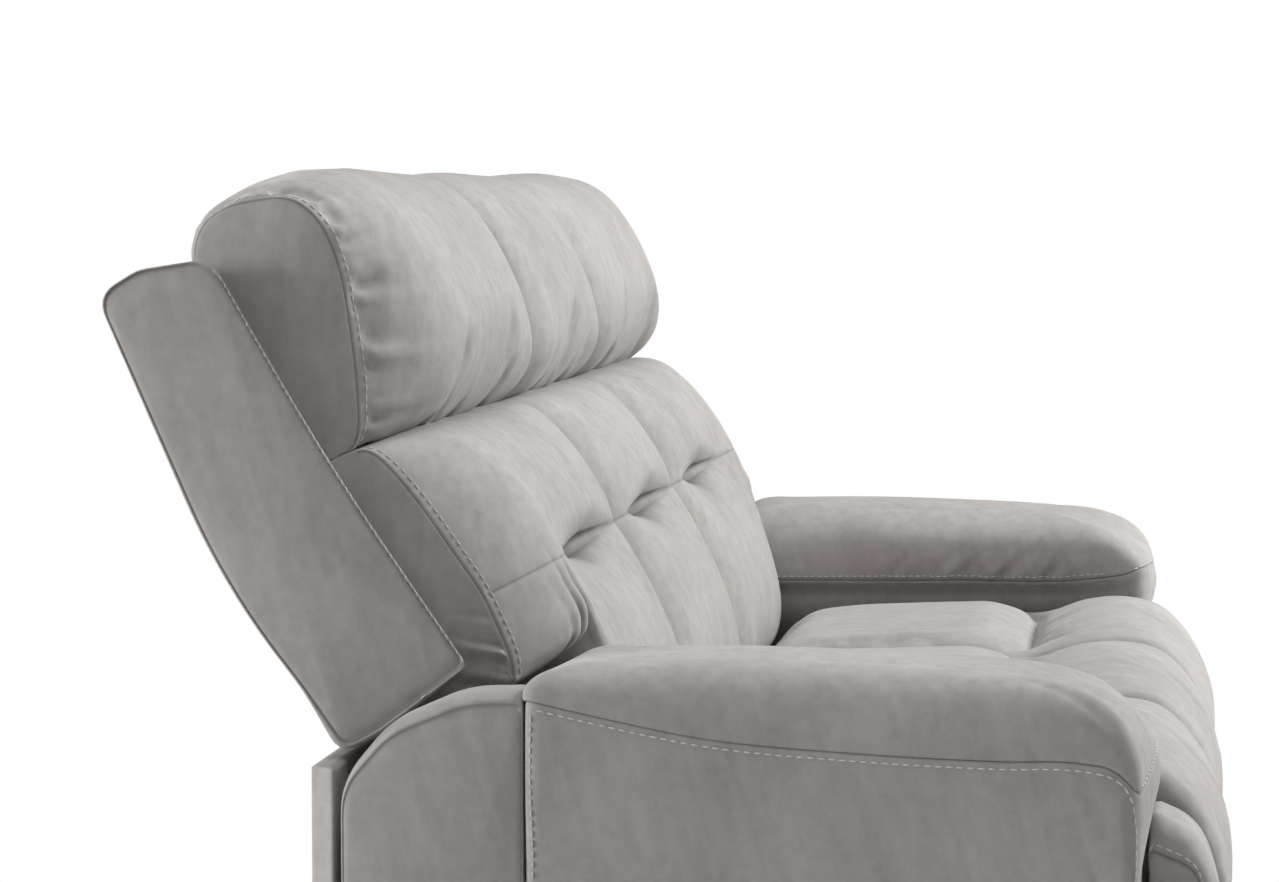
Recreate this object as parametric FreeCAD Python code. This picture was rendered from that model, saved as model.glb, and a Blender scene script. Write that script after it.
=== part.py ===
import FreeCAD, Part
import math
import os

os.makedirs("parts", exist_ok=True)
V = FreeCAD.Vector

# A three-seat reclining sofa in millimetres: X across, the front towards -Y, Z up.
# While building, y is measured back from the arm fronts and z from the floor.
# The left half is built and mirrored; left and right are the sitter's.

# Layout across the sofa
SEAT_W = 504
SEAT_GAP = 6
ARM_W = 252
SEAT_PITCH = SEAT_W + SEAT_GAP
SEAT_HALF = SEAT_W / 2
CUSHION_GAP = 2
CUSHION_HALF = SEAT_HALF - CUSHION_GAP
ARM_IN = SEAT_PITCH + SEAT_HALF + SEAT_GAP
ARM_OUT = ARM_IN + ARM_W

# Base
FOOT_H = 60
FOOT_TOP_R = 26
FOOT_BOTTOM_R = 20
BOARD_T = 20
RAIL_T = 30
FRONT_RAIL_Y = 165
FRONT_RAIL_H = 80
REAR_RAIL_Y = 713
REAR_RAIL_H = 140
REAR_PANEL_T = 24
REAR_PANEL_TOP = 520
REAR_PANEL_INSET = 35
REAR_PANEL_FRONT_R = 10
REAR_PANEL_REAR_R = 8
RUNNER_T = 18
RUNNER_FRONT_Y = 30
RUNNER_TOP = 270
EDGE_R = 2

# Slide tracks and shoes
TRACK_W = 12
TRACK_H = 12
TRACK_FRONT_Y = 70
TRACK_REAR_Y = 570
SHOE_LEN = 80
SHOE_FRONT_Y = 170
SHOE_REAR_Y = 420
SHOE_LIFT = 2
SLIDE_FIT = 0.4

# Seat box
SEAT_FRAME_TOP = 360
SEAT_FRAME_H = 55
SEAT_FRAME_REAR_Y = 500
SIDE_RAIL_FRONT_Y = -8
CROSS_RAIL_H = 30
CROSS_RAIL_FRONT_Y = 20
FRONT_BOARD_LEN = 47
FRONT_BOARD_T = 18
FRONT_BOARD_TOP = 336
FRONT_BOARD_LAP = 3
STRAP_W = 55
STRAP_T = 2
CROSS_STRAPS = 4
LONG_STRAPS = 3

# Footrest linkage, seen from the side; angles are measured up from straight ahead
LINK_T = 5
LAYER_PITCH = 6
LINK_HALF = 12
SLIM_LINK_HALF = 10
LUG_HALF = 18
LINK_LEN = 222
LINK_REST = -102
FRONT_PIVOT = (50, 310)
PIVOT_SPACING = 48
PIVOT_ANGLE = -148
COUPLER_LEN = 145
COUPLER_ANGLE = 54
DRIVE_OFFSET = 55
PIN_R = 4
HINGE_PIN_R = 6
PIN_FIT = 0.05
TUBE_R = 9
PLATE_REAR_Y = 520
PLATE_DROP = 20
PLATE_END_R = 22
BRACKET_FLANGE = 30
BACK_BRACKET_HALF = 18

# Footrest and front pads
FOOT_PAD_TOP = 310
FOOT_PAD_BOTTOM = 64
FOOT_BOARD_T = 15
FOOT_BOARD_Y = -35
FOOT_BOARD_MARGIN = 11
FOOT_PAD_EDGE = 37
FOOT_PAD_CROWN = 20
FOOT_PAD_BEVEL = 14
FOOT_PAD_SHOULDER = 40
FOOT_PAD_SHOULDER_R = 30
FOOT_PAD_EDGE_R = 10
FOOT_PAD_BACK_R = 4
EAR_GAP = 2
EAR_TOP = 488
EAR_DEPTH = 54
EAR_LEAN = 4
EAR_R = 42
EAR_BACK_R = 10
EAR_HEM_R = 8

# Seat cushion
FRONT_OVERHANG = 100
FRONT_DRAW_IN = 20
SEAT_BACK_Y = 488
SEAT_BACK_LEAN = 2
SEAT_BACK_R = 4
SEAT_REAR_Z = 430
SEAT_REAR_CROWN = 8
SEAT_REAR_R = 16
SEAT_MID_Z = 456
SEAT_MID_REACH = 170
SEAT_MID_CROWN = 26
SEAT_MID_R = 150
SEAT_CREASE_Y = 140
CREASE_FLOOR_H = 8
CREASE_FLOOR_CROWN = 12
CREASE_FLOOR_R = 6
CREASE_SIDE_H = 18
CREASE_REAR_REACH = 26
CREASE_REAR_CROWN = 18
CREASE_REAR_R = 22
CREASE_FRONT_REACH = 28
CREASE_FRONT_CROWN = 22
CREASE_FRONT_R = 24
SEAT_FRONT_Y = -18
SEAT_FRONT_Z = 488
SEAT_FRONT_CROWN = 38
SEAT_FRONT_R = 40
SEAT_FRONT_R_CROWN = 10
SEAT_NOSE_DROP = 48
SEAT_NOSE_LEAN = 4
SEAT_NOSE_R = 60
SEAT_HEM_R = 14

# Back, in its own slanted frame: n runs forward from the rear face, u runs up along it
BACK_SLANT = 26.5
BACK_FOOT = (755, 527)
BACK_H = 480
SHELL_T = 14
SHELL_R = 8
SHELL_CAP_H = 20
WING_T = 33
WING_FOOT = 148
WING_FOOT_RISE = 13
WING_FOOT_R = 12
WING_HEAD = 98
WING_HEAD_DROP = 14
WING_HEAD_R = 30
WING_REAR_R = 22
WING_GAP = 10
CUSHION_TO_WING = 5
POST_W = 18
POST_LAP = 4
POST_DROP = 60
FRAME_T = 40
FRAME_RAIL_H = 38
FRAME_RAIL_LOW = 20
BRACKET_TOP = -8
BACK_PIVOT = (640, 445)

# Lower back cushion, in the back's frame; each crown is what the middle of the cushion stands out
PARTING_N = 146
PARTING_R = 6
LUMBAR_BOTTOM = -196
LUMBAR_SHOULDER = 168
LUMBAR_SHOULDER_DROP = 40
LUMBAR_SHOULDER_CROWN = 40
LUMBAR_SHOULDER_R = 34
LUMBAR_UPPER = 194
LUMBAR_UPPER_CROWN = 38
LUMBAR_UPPER_R = 26
LUMBAR_LOWER = 198
LUMBAR_LOWER_CROWN = 40
LUMBAR_LOWER_R = 30
LUMBAR_BELLY = (196, -110)
LUMBAR_BELLY_CROWN = 44
LUMBAR_BELLY_R = 60
LUMBAR_HEM = 172
LUMBAR_HEM_CROWN = 14
LUMBAR_HEM_R = 20
LUMBAR_REAR_U = 20
LUMBAR_REAR_KNEE = (42, -112)
LUMBAR_REAR_FOOT = (74, 10)
LUMBAR_REAR_R = 20
LUMBAR_REAR_FOOT_R = 14
ROLL_REACH = 32
TUFT_U = 72
TUFT_EDGE = 191
TUFT_CROWN = 30
TUFT_PULL = 26
TUFT_R = 3
ARM_CLEAR_Z = 628
ARM_CLEAR_LAP = 32
END_CLEAR = 3

# Head roll, in the back's frame; heights are measured from its foot
HEAD_DROP = 228
HEAD_GAP = 6
HEAD_FOOT_RISE = 4
HEAD_FOOT_R = 8
HEAD_CHIN = (184, 28)
HEAD_CHIN_CROWN = 50
HEAD_CHIN_R = 30
HEAD_FACE = (212, 150)
HEAD_FACE_CROWN = 24
HEAD_FACE_R = 80
HEAD_BROW = (214, 234)
HEAD_BROW_CROWN = (14, 8)
HEAD_BROW_R = 36
HEAD_PEAK = (165, 258)
HEAD_PEAK_CROWN = 7
HEAD_PEAK_R = 40
HEAD_NAPE = (84, 246)
HEAD_NAPE_CROWN = 4
HEAD_NAPE_R = 18
HEAD_REAR_H = 208
HEAD_REAR_R = 10

# Arms
ARM_SIDE_TOP = 522
ARM_REAR_Y = 558
ARM_FRONT_SET = 6
ARM_SKIN = 16
ARM_LIP = 8
ARM_BULGE = 6
ARM_RIBS = 4
ARM_RIB_T = 25
ARM_FRAME_TOP = 505
ARM_TOP_FRONT_Y = -4
ARM_NOSE_H = 30
ARM_PILLOW_H = 108
ARM_CROWN_R = 60
ARM_SHOULDER_IN = 30
ARM_SHOULDER_OUT = 26
QUARTER_T = 72
QUARTER_LAP = 18
QUARTER_TOP = 600
QUARTER_LEAN = 2
QUARTER_REAR_DROP = 90
QUARTER_HIP = (60, 28)
QUARTER_LEVEL = 45
QUARTER_R = 60

# Release handle in the outer arm face
CUP_LEN = 104
CUP_H = 60
CUP_DEPTH = 28
CUP_WALL = 3
CUP_FLANGE = 6
CUP_FLANGE_T = 2.5
CUP_FRONT_Y = 62
CUP_BOTTOM = 332
CUP_R = 14
LEVER_LEN = 52
LEVER_T = 6
LEVER_PIN_R = 3
LEVER_GAP = 7

# Derived places
SEAT_FRAME_BOTTOM = SEAT_FRAME_TOP - SEAT_FRAME_H
RAIL_OUT = SEAT_HALF - SEAT_GAP
RAIL_IN = RAIL_OUT - BOARD_T
CUSHION_SEAT_Z = SEAT_FRAME_TOP + 2 * STRAP_T
QUARTER_IN = ARM_OUT - ARM_LIP - QUARTER_T
QUARTER_REAR_Y = REAR_RAIL_Y + QUARTER_LAP
WING_OUT = QUARTER_IN - WING_GAP - SEAT_PITCH
WING_IN = WING_OUT - WING_T
BACK_CUSHION_OUT = WING_IN - CUSHION_TO_WING
FRAME_FRONT = SHELL_T + FRAME_T
HEAD_BOTTOM = BACK_H - HEAD_DROP
LUMBAR_TOP = HEAD_BOTTOM - HEAD_GAP
FRONT_BOARD_OUT = BACK_CUSHION_OUT + FRONT_BOARD_LAP


def rounded_wire(corners, place):
    """Closed wire through (a, b, radius) corners, where place turns (a, b) into a point."""
    points = [place(a, b) for a, b, _ in corners]
    arcs = []
    for i, (_, _, radius) in enumerate(corners):
        here = points[i]
        to_before = (points[i - 1] - here).normalize()
        to_after = (points[(i + 1) % len(points)] - here).normalize()
        half = to_before.getAngle(to_after) / 2
        inward = (to_before + to_after).normalize()
        reach = radius / math.tan(half)
        middle = here + inward * (radius / math.sin(half) - radius)
        arcs.append((here + to_before * reach, middle, here + to_after * reach))
    edges = []
    for i, (first, middle, last) in enumerate(arcs):
        if corners[i][2] > 0:
            edges.append(Part.Arc(first, middle, last).toShape())
        edges.append(Part.LineSegment(last, arcs[(i + 1) % len(arcs)][0]).toShape())
    return Part.Wire(edges)


def side_point(x):
    """Places (y, z) in the plane at x."""
    return lambda y, z: V(x, y, z)


def back_yz(n, u):
    """Turns the back's own (n, u) into (y, z)."""
    slant = math.radians(BACK_SLANT)
    y = BACK_FOOT[0] - n * math.cos(slant) + u * math.sin(slant)
    z = BACK_FOOT[1] + n * math.sin(slant) + u * math.cos(slant)
    return y, z


def back_point(x):
    """Places the back's own (n, u) in the plane at x."""
    return lambda n, u: V(x, *back_yz(n, u))


def box(x0, x1, y0, y1, z0, z1):
    return Part.makeBox(x1 - x0, y1 - y0, z1 - z0, V(x0, y0, z0))


def plate(corners, x0, x1, plane=side_point):
    """A rounded side profile carried across from x0 to x1."""
    face = Part.Face(rounded_wire(corners, plane(x0)))
    return face.extrude(V(x1 - x0, 0, 0))


def rod(centre, radius, x0, x1):
    """A round bar across the sofa at (y, z)."""
    return Part.makeCylinder(radius, x1 - x0, V(x0, *centre), V(1, 0, 0))


def link(a, b, half_width, x0, x1):
    """A flat bar between two pivots with round ends."""
    along = V(0, b[0] - a[0], b[1] - a[1]).normalize()
    across = V(1, 0, 0).cross(along) * half_width
    first = V(x0, *a)
    last = V(x0, *b)
    cap = along * half_width
    outline = Part.Wire([
        Part.LineSegment(first + across, last + across).toShape(),
        Part.Arc(last + across, last + cap, last - across).toShape(),
        Part.LineSegment(last - across, first - across).toShape(),
        Part.Arc(first - across, first - cap, first + across).toShape(),
    ])
    return Part.Face(outline).extrude(V(x1 - x0, 0, 0))


def mirrored(shape):
    return shape.mirror(V(0, 0, 0), V(1, 0, 0))


def pair(shape):
    """The shape and its mirror image about the seat's middle plane."""
    return Part.makeCompound([shape, mirrored(shape)])


def turned(start, length, degrees):
    """The point at a length and an angle up from straight ahead of a side-view point."""
    angle = math.radians(degrees)
    return start[0] - length * math.cos(angle), start[1] + length * math.sin(angle)


def layer(k):
    """Inner and outer x of the k-th layer of links, counted inwards from the side rail."""
    outer = RAIL_IN - k * LAYER_PITCH
    return outer - LINK_T, outer


def padded_loft(profile, x0, x1, plane=side_point):
    """A padded form: profile(crown, middle) is drawn in at both ends and full in the middle."""
    half = [(0, 0), (0.06, 0.4), (0.24, 0.86)]
    stations = [(part, crown, 0) for part, crown in half]
    stations.append((0.5, 1, 1))
    stations += [(1 - part, crown, 0) for part, crown in reversed(half)]
    wires = []
    for part, crown, middle in stations:
        wires.append(rounded_wire(profile(crown, middle), plane(x0 + part * (x1 - x0))))
    return Part.makeLoft(wires, True, True)


# Pivots of the footrest linkage at rest
FRONT_KNEE = turned(FRONT_PIVOT, LINK_LEN, LINK_REST)
REAR_PIVOT = turned(FRONT_PIVOT, PIVOT_SPACING, PIVOT_ANGLE)
REAR_KNEE = turned(FRONT_KNEE, PIVOT_SPACING, PIVOT_ANGLE)
FOOT_PIVOT = turned(FRONT_KNEE, COUPLER_LEN, COUPLER_ANGLE)
DRIVE_REAR = turned(FRONT_KNEE, DRIVE_OFFSET, LINK_REST + 180)
DRIVE_FRONT = turned(FOOT_PIVOT, DRIVE_OFFSET, LINK_REST + 180)


# Base
def base_rails():
    front = box(-ARM_IN, ARM_IN, FRONT_RAIL_Y, FRONT_RAIL_Y + RAIL_T, FOOT_H, FOOT_H + FRONT_RAIL_H)
    rear = box(-QUARTER_IN, QUARTER_IN, REAR_RAIL_Y, REAR_RAIL_Y + RAIL_T, FOOT_H, FOOT_H + REAR_RAIL_H)
    return Part.makeCompound([front, rear])


def runner(x0, front_y, top):
    """A board on edge between the rails, notched over the front rail."""
    notch_top = FOOT_H + FRONT_RAIL_H
    corners = [
        (front_y, FOOT_H, 0),
        (FRONT_RAIL_Y, FOOT_H, 0),
        (FRONT_RAIL_Y, notch_top, 0),
        (FRONT_RAIL_Y + RAIL_T, notch_top, 0),
        (FRONT_RAIL_Y + RAIL_T, FOOT_H, 0),
        (REAR_RAIL_Y, FOOT_H, 0),
        (REAR_RAIL_Y, top, 0),
        (front_y, top, 0),
    ]
    return plate(corners, x0, x0 + RUNNER_T)


def base_runners():
    boards = []
    end_boards = [(SEAT_PITCH - RAIL_OUT), (SEAT_PITCH + RAIL_OUT - RUNNER_T)]
    for x0 in end_boards:
        boards.append(runner(x0, RUNNER_FRONT_Y, RUNNER_TOP))
    boards.append(runner(RAIL_OUT - RUNNER_T, FOOT_BOARD_Y + FOOT_BOARD_T, SEAT_FRAME_BOTTOM))
    return Part.makeCompound(boards + [mirrored(board) for board in boards])


def base_feet():
    rail_x = [SEAT_HALF, SEAT_PITCH + SEAT_HALF / 2]
    arm_x = (ARM_IN + ARM_OUT) / 2
    spots = [(x, y + RAIL_T / 2) for x in rail_x for y in (FRONT_RAIL_Y, REAR_RAIL_Y)]
    spots += [(arm_x, ARM_FRONT_SET + ARM_SKIN + FOOT_TOP_R), (arm_x, ARM_REAR_Y - ARM_SKIN - FOOT_TOP_R)]
    feet = [Part.makeCone(FOOT_BOTTOM_R, FOOT_TOP_R, FOOT_H, V(x, y, 0)) for x, y in spots]
    return Part.makeCompound(feet + [mirrored(foot) for foot in feet])


def rear_panel():
    front = REAR_RAIL_Y + RAIL_T
    half = ARM_OUT - REAR_PANEL_INSET
    corners = [
        (front, FOOT_H, EDGE_R),
        (front, REAR_PANEL_TOP, REAR_PANEL_FRONT_R),
        (front + REAR_PANEL_T, REAR_PANEL_TOP, REAR_PANEL_REAR_R),
        (front + REAR_PANEL_T, FOOT_H, EDGE_R),
    ]
    return plate(corners, -half, half)


def track_centre():
    return RAIL_OUT - RUNNER_T / 2


def slide_tracks():
    x0 = track_centre() - TRACK_W / 2
    bar = box(x0, x0 + TRACK_W, TRACK_FRONT_Y, TRACK_REAR_Y, RUNNER_TOP, RUNNER_TOP + TRACK_H)
    seat_pair = pair(bar)
    seat_pair.translate(V(SEAT_PITCH, 0, 0))
    return Part.makeCompound(seat_pair.Solids + [mirrored(solid) for solid in seat_pair.Solids])


# Arms, left one
def arm_frame():
    x0 = ARM_IN + ARM_SKIN
    x1 = ARM_OUT - ARM_LIP - ARM_SKIN
    y0 = ARM_FRONT_SET + ARM_SKIN
    y1 = ARM_REAR_Y - ARM_SKIN
    body = box(x0, x1, y0, y1, FOOT_H, ARM_FRAME_TOP)
    cell = (y1 - y0 - ARM_RIBS * ARM_RIB_T) / (ARM_RIBS - 1)
    for i in range(ARM_RIBS - 1):
        cell_y = y0 + ARM_RIB_T + i * (cell + ARM_RIB_T)
        window = box(x0, x1, cell_y, cell_y + cell, FOOT_H + ARM_RIB_T, ARM_FRAME_TOP - ARM_RIB_T)
        body = body.cut(window)
    return body


def arm_side():
    """The padded casing round the arm frame, with the opening for the handle cup."""
    x1 = ARM_OUT - ARM_LIP
    outer = box(ARM_IN, x1, ARM_FRONT_SET, ARM_REAR_Y, FOOT_H, ARM_SIDE_TOP)
    corners = [edge for edge in outer.Edges
               if edge.BoundBox.ZLength > 1 and edge.CenterOfMass.y < ARM_REAR_Y / 2]
    outer = outer.makeFillet(ARM_SKIN * 0.8, corners)
    inner = box(ARM_IN + ARM_SKIN, x1 - ARM_SKIN, ARM_FRONT_SET + ARM_SKIN, ARM_REAR_Y - ARM_SKIN,
                FOOT_H, ARM_SIDE_TOP)
    cup_hole = box(x1 - CUP_DEPTH, x1, CUP_FRONT_Y, CUP_FRONT_Y + CUP_LEN, CUP_BOTTOM, CUP_BOTTOM + CUP_H)
    cup_edges = [edge for edge in cup_hole.Edges if edge.BoundBox.XLength > 1]
    return outer.cut(inner).cut(cup_hole.makeFillet(CUP_R, cup_edges))


def arm_top():
    """The pillow on the arm: it rises from the front and falls away a little at the rear."""
    middle = (ARM_IN + ARM_OUT) / 2
    # Shares of the arm's length and of the pillow's height along its crest
    crest_shares = [
        (0.025, 0.463),
        (0.108, 0.694),
        (0.242, 0.870),
        (0.484, 0.972),
        (0.735, 1),
        (0.905, 0.953),
        (1, 0.777),
    ]
    crest = [(ARM_TOP_FRONT_Y, ARM_NOSE_H)]
    crest += [(along * ARM_REAR_Y, height * ARM_PILLOW_H) for along, height in crest_shares]
    wires = []
    for y, rise in crest:
        corners = [
            (ARM_IN + ARM_BULGE, 0, EDGE_R),
            (ARM_IN - ARM_BULGE / 2, 0.3 * rise, 0.15 * rise),
            (ARM_IN + ARM_SHOULDER_IN, 0.9 * rise, 0.3 * rise),
            (middle, 1.04 * rise, ARM_CROWN_R),
            (ARM_OUT - ARM_SHOULDER_OUT, 0.9 * rise, 0.3 * rise),
            (ARM_OUT, 0.25 * rise, 0.12 * rise),
            (ARM_OUT - ARM_LIP, 0, EDGE_R),
        ]
        wires.append(rounded_wire(corners, lambda x, z: V(x, y, ARM_SIDE_TOP + z)))
    return Part.makeLoft(wires, True, True)


def arm_quarter():
    """The panel behind the arm, round at its top rear where the back swings over it."""
    corners = [
        (ARM_REAR_Y, FOOT_H, EDGE_R),
        (QUARTER_REAR_Y, FOOT_H, EDGE_R),
        (QUARTER_REAR_Y - QUARTER_LEAN, QUARTER_TOP - QUARTER_REAR_DROP, QUARTER_R),
        (QUARTER_REAR_Y - QUARTER_HIP[0], QUARTER_TOP - QUARTER_HIP[1], QUARTER_R),
        (ARM_REAR_Y + QUARTER_LEVEL, QUARTER_TOP, QUARTER_R),
        (ARM_REAR_Y, QUARTER_TOP, EDGE_R),
    ]
    return plate(corners, QUARTER_IN, QUARTER_IN + QUARTER_T)


def rounded_block(x0, x1, y0, y1, z0, z1, radius):
    """A block with its four edges along X rounded."""
    block = box(x0, x1, y0, y1, z0, z1)
    return block.makeFillet(radius, [edge for edge in block.Edges if edge.BoundBox.XLength > (x1 - x0) / 2])


def lever_axis():
    x = ARM_OUT - ARM_LIP - LEVER_GAP - LEVER_T / 2
    y = CUP_FRONT_Y + CUP_WALL + LEVER_GAP
    return x, y


def handle_cup():
    face = ARM_OUT - ARM_LIP
    y1 = CUP_FRONT_Y + CUP_LEN
    z1 = CUP_BOTTOM + CUP_H
    shell = rounded_block(face - CUP_DEPTH, face, CUP_FRONT_Y, y1, CUP_BOTTOM, z1, CUP_R)
    flange = rounded_block(face, face + CUP_FLANGE_T, CUP_FRONT_Y - CUP_FLANGE, y1 + CUP_FLANGE,
                           CUP_BOTTOM - CUP_FLANGE, z1 + CUP_FLANGE, CUP_R + CUP_FLANGE)
    hollow = rounded_block(face - CUP_DEPTH + CUP_WALL, face + CUP_FLANGE_T, CUP_FRONT_Y + CUP_WALL,
                           y1 - CUP_WALL, CUP_BOTTOM + CUP_WALL, z1 - CUP_WALL, CUP_R - CUP_WALL)
    x, y = lever_axis()
    bore = Part.makeCylinder(LEVER_PIN_R + PIN_FIT, CUP_H, V(x, y + CUP_R, CUP_BOTTOM))
    return shell.fuse(flange).cut(hollow).cut(bore)


def handle_lever():
    x, y = lever_axis()
    pin_y = y + CUP_R
    z0 = CUP_BOTTOM + CUP_WALL + LEVER_GAP
    z1 = CUP_BOTTOM + CUP_H - CUP_WALL - LEVER_GAP
    paddle = box(x - LEVER_T / 2, x + LEVER_T / 2, pin_y, pin_y + LEVER_LEN, z0, z1)
    tip = [edge for edge in paddle.Edges
           if edge.BoundBox.XLength > 1 and edge.CenterOfMass.y > pin_y + LEVER_LEN / 2]
    paddle = paddle.makeFillet(LEVER_GAP, tip)
    barrel = Part.makeCylinder(LEVER_T, z1 - z0, V(x, pin_y, z0))
    pin = Part.makeCylinder(LEVER_PIN_R, CUP_H, V(x, pin_y, CUP_BOTTOM))
    return paddle.fuse(barrel).fuse(pin)


# Seat box and its cushion, about the seat's own middle
def seat_frame(board_out, reach):
    """Side rails, cross rails that reach to the side plates or the rails, and the front board."""
    rail = box(RAIL_IN, RAIL_OUT, SIDE_RAIL_FRONT_Y, SEAT_FRAME_REAR_Y, SEAT_FRAME_BOTTOM, SEAT_FRAME_TOP)
    cross_front = box(-reach, reach, CROSS_RAIL_FRONT_Y, CROSS_RAIL_FRONT_Y + BOARD_T,
                      SEAT_FRAME_TOP - CROSS_RAIL_H, SEAT_FRAME_TOP)
    cross_rear = box(-reach, reach, SEAT_FRAME_REAR_Y - BOARD_T, SEAT_FRAME_REAR_Y,
                     SEAT_FRAME_BOTTOM, SEAT_FRAME_TOP)
    front_board = box(-CUSHION_HALF, board_out, SIDE_RAIL_FRONT_Y - FRONT_BOARD_LEN, SIDE_RAIL_FRONT_Y,
                      FRONT_BOARD_TOP - FRONT_BOARD_T, FRONT_BOARD_TOP)
    return Part.makeCompound([rail, mirrored(rail), cross_front, cross_rear, front_board])


def seat_webbing():
    """Straps across the seat box, and straps front to back over them."""
    straps = []
    y0 = CROSS_RAIL_FRONT_Y + BOARD_T
    room = SEAT_FRAME_REAR_Y - BOARD_T - y0
    step = room / CROSS_STRAPS
    for i in range(CROSS_STRAPS):
        y = y0 + (i + 0.5) * step
        straps.append(box(-RAIL_OUT, RAIL_OUT, y - STRAP_W / 2, y + STRAP_W / 2,
                          SEAT_FRAME_TOP, SEAT_FRAME_TOP + STRAP_T))
    for i in range(LONG_STRAPS):
        x = (i - (LONG_STRAPS - 1) / 2) * 2 * RAIL_IN / LONG_STRAPS
        straps.append(box(x - STRAP_W / 2, x + STRAP_W / 2, CROSS_RAIL_FRONT_Y, SEAT_FRAME_REAR_Y,
                          SEAT_FRAME_TOP + STRAP_T, SEAT_FRAME_TOP + 2 * STRAP_T))
    return Part.makeCompound(straps)


def seat_profile(crown, middle):
    """Side outline of the seat: rear pad, sewn crease, front roll and waterfall front."""
    front = FRONT_OVERHANG - FRONT_DRAW_IN * (1 - crown)
    crease_floor = SEAT_MID_Z + CREASE_FLOOR_H + CREASE_FLOOR_CROWN * crown
    crease_side = SEAT_MID_Z + CREASE_SIDE_H
    return [
        (SEAT_BACK_Y, CUSHION_SEAT_Z, SEAT_BACK_R),
        (SEAT_BACK_Y - SEAT_BACK_LEAN, SEAT_REAR_Z + SEAT_REAR_CROWN * crown, SEAT_REAR_R),
        (SEAT_BACK_Y - SEAT_MID_REACH, SEAT_MID_Z + SEAT_MID_CROWN * crown, SEAT_MID_R),
        (SEAT_CREASE_Y + CREASE_REAR_REACH, crease_side + CREASE_REAR_CROWN * crown, CREASE_REAR_R),
        (SEAT_CREASE_Y, crease_floor, CREASE_FLOOR_R),
        (SEAT_CREASE_Y - CREASE_FRONT_REACH, crease_side + CREASE_FRONT_CROWN * crown, CREASE_FRONT_R),
        (SEAT_FRONT_Y, SEAT_FRONT_Z + SEAT_FRONT_CROWN * crown, SEAT_FRONT_R + SEAT_FRONT_R_CROWN * crown),
        (SEAT_NOSE_LEAN - front, SEAT_FRONT_Z - SEAT_NOSE_DROP, SEAT_NOSE_R),
        (-front, FRONT_BOARD_TOP, SEAT_HEM_R),
        (SIDE_RAIL_FRONT_Y, FRONT_BOARD_TOP, EDGE_R),
        (SIDE_RAIL_FRONT_Y, CUSHION_SEAT_Z, EDGE_R),
    ]


def seat_cushion():
    return padded_loft(seat_profile, -CUSHION_HALF, CUSHION_HALF)


def seat_ear():
    """The end of the front roll that reaches out in front of the arm."""
    front = SIDE_RAIL_FRONT_Y - EAR_DEPTH
    corners = [
        (SIDE_RAIL_FRONT_Y, FRONT_BOARD_TOP, EDGE_R),
        (SIDE_RAIL_FRONT_Y, EAR_TOP, EAR_BACK_R),
        (front, EAR_TOP, EAR_R),
        (front - EAR_LEAN, FRONT_BOARD_TOP, EAR_HEM_R),
    ]
    return plate(corners, SEAT_HALF + EAR_GAP, FRONT_BOARD_OUT)


# Slide and footrest mechanism, about the seat's own middle
def seat_plates():
    """Side plates: lug for the link pivots, arm up to the back pivot, shoes that ride the tracks."""
    x0, x1 = layer(0)
    bottom = SEAT_FRAME_BOTTOM - PLATE_DROP
    body = box(x0, x1, CROSS_RAIL_FRONT_Y, PLATE_REAR_Y, bottom, SEAT_FRAME_TOP)
    body = body.fuse(link(FRONT_PIVOT, REAR_PIVOT, LUG_HALF, x0, x1))
    arm_foot = (PLATE_REAR_Y - PLATE_END_R, bottom + PLATE_END_R)
    body = body.fuse(link(arm_foot, BACK_PIVOT, PLATE_END_R, x0, x1))
    middle = track_centre()
    slot_half = TRACK_W / 2 + SLIDE_FIT
    for y in (SHOE_FRONT_Y, SHOE_REAR_Y):
        shoe = box(x1, RAIL_OUT, y, y + SHOE_LEN, RUNNER_TOP + SHOE_LIFT, SEAT_FRAME_BOTTOM)
        slot = box(middle - slot_half, middle + slot_half, y, y + SHOE_LEN,
                   RUNNER_TOP + SHOE_LIFT, RUNNER_TOP + TRACK_H + SLIDE_FIT)
        body = body.fuse(shoe.cut(slot))
    body = body.cut(rod(FRONT_PIVOT, HINGE_PIN_R + PIN_FIT, x0, x1))
    body = body.cut(rod(BACK_PIVOT, HINGE_PIN_R + PIN_FIT, x0, x1))
    body = body.fuse(rod(REAR_PIVOT, PIN_R, layer(1)[0], x1))
    return pair(body)


def front_links():
    """Both front links, welded to the tube that drives them together."""
    x0, x1 = layer(1)
    bar = link(FRONT_PIVOT, FRONT_KNEE, LINK_HALF, x0, x1)
    for hole in (FRONT_KNEE, DRIVE_REAR):
        bar = bar.cut(rod(hole, PIN_R + PIN_FIT, x0, x1))
    bar = bar.fuse(rod(FRONT_PIVOT, HINGE_PIN_R, x0, layer(0)[1]))
    tube = rod(FRONT_PIVOT, TUBE_R, -x0, x0)
    return bar.fuse(tube).fuse(mirrored(bar))


def rear_links():
    x0, x1 = layer(1)
    bar = link(REAR_PIVOT, REAR_KNEE, LINK_HALF, x0, x1)
    for hole in (REAR_PIVOT, REAR_KNEE):
        bar = bar.cut(rod(hole, PIN_R + PIN_FIT, x0, x1))
    return pair(bar)


def coupler_links():
    """Bent bars that carry the knees of both links and the footrest pivot."""
    x0, x1 = layer(2)
    bar = link(REAR_KNEE, FRONT_KNEE, SLIM_LINK_HALF, x0, x1)
    bar = bar.fuse(link(FRONT_KNEE, FOOT_PIVOT, SLIM_LINK_HALF, x0, x1))
    bar = bar.cut(rod(FOOT_PIVOT, PIN_R + PIN_FIT, x0, x1))
    for pin in (REAR_KNEE, FRONT_KNEE):
        bar = bar.fuse(rod(pin, PIN_R, x0, layer(1)[1]))
    return pair(bar)


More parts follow.
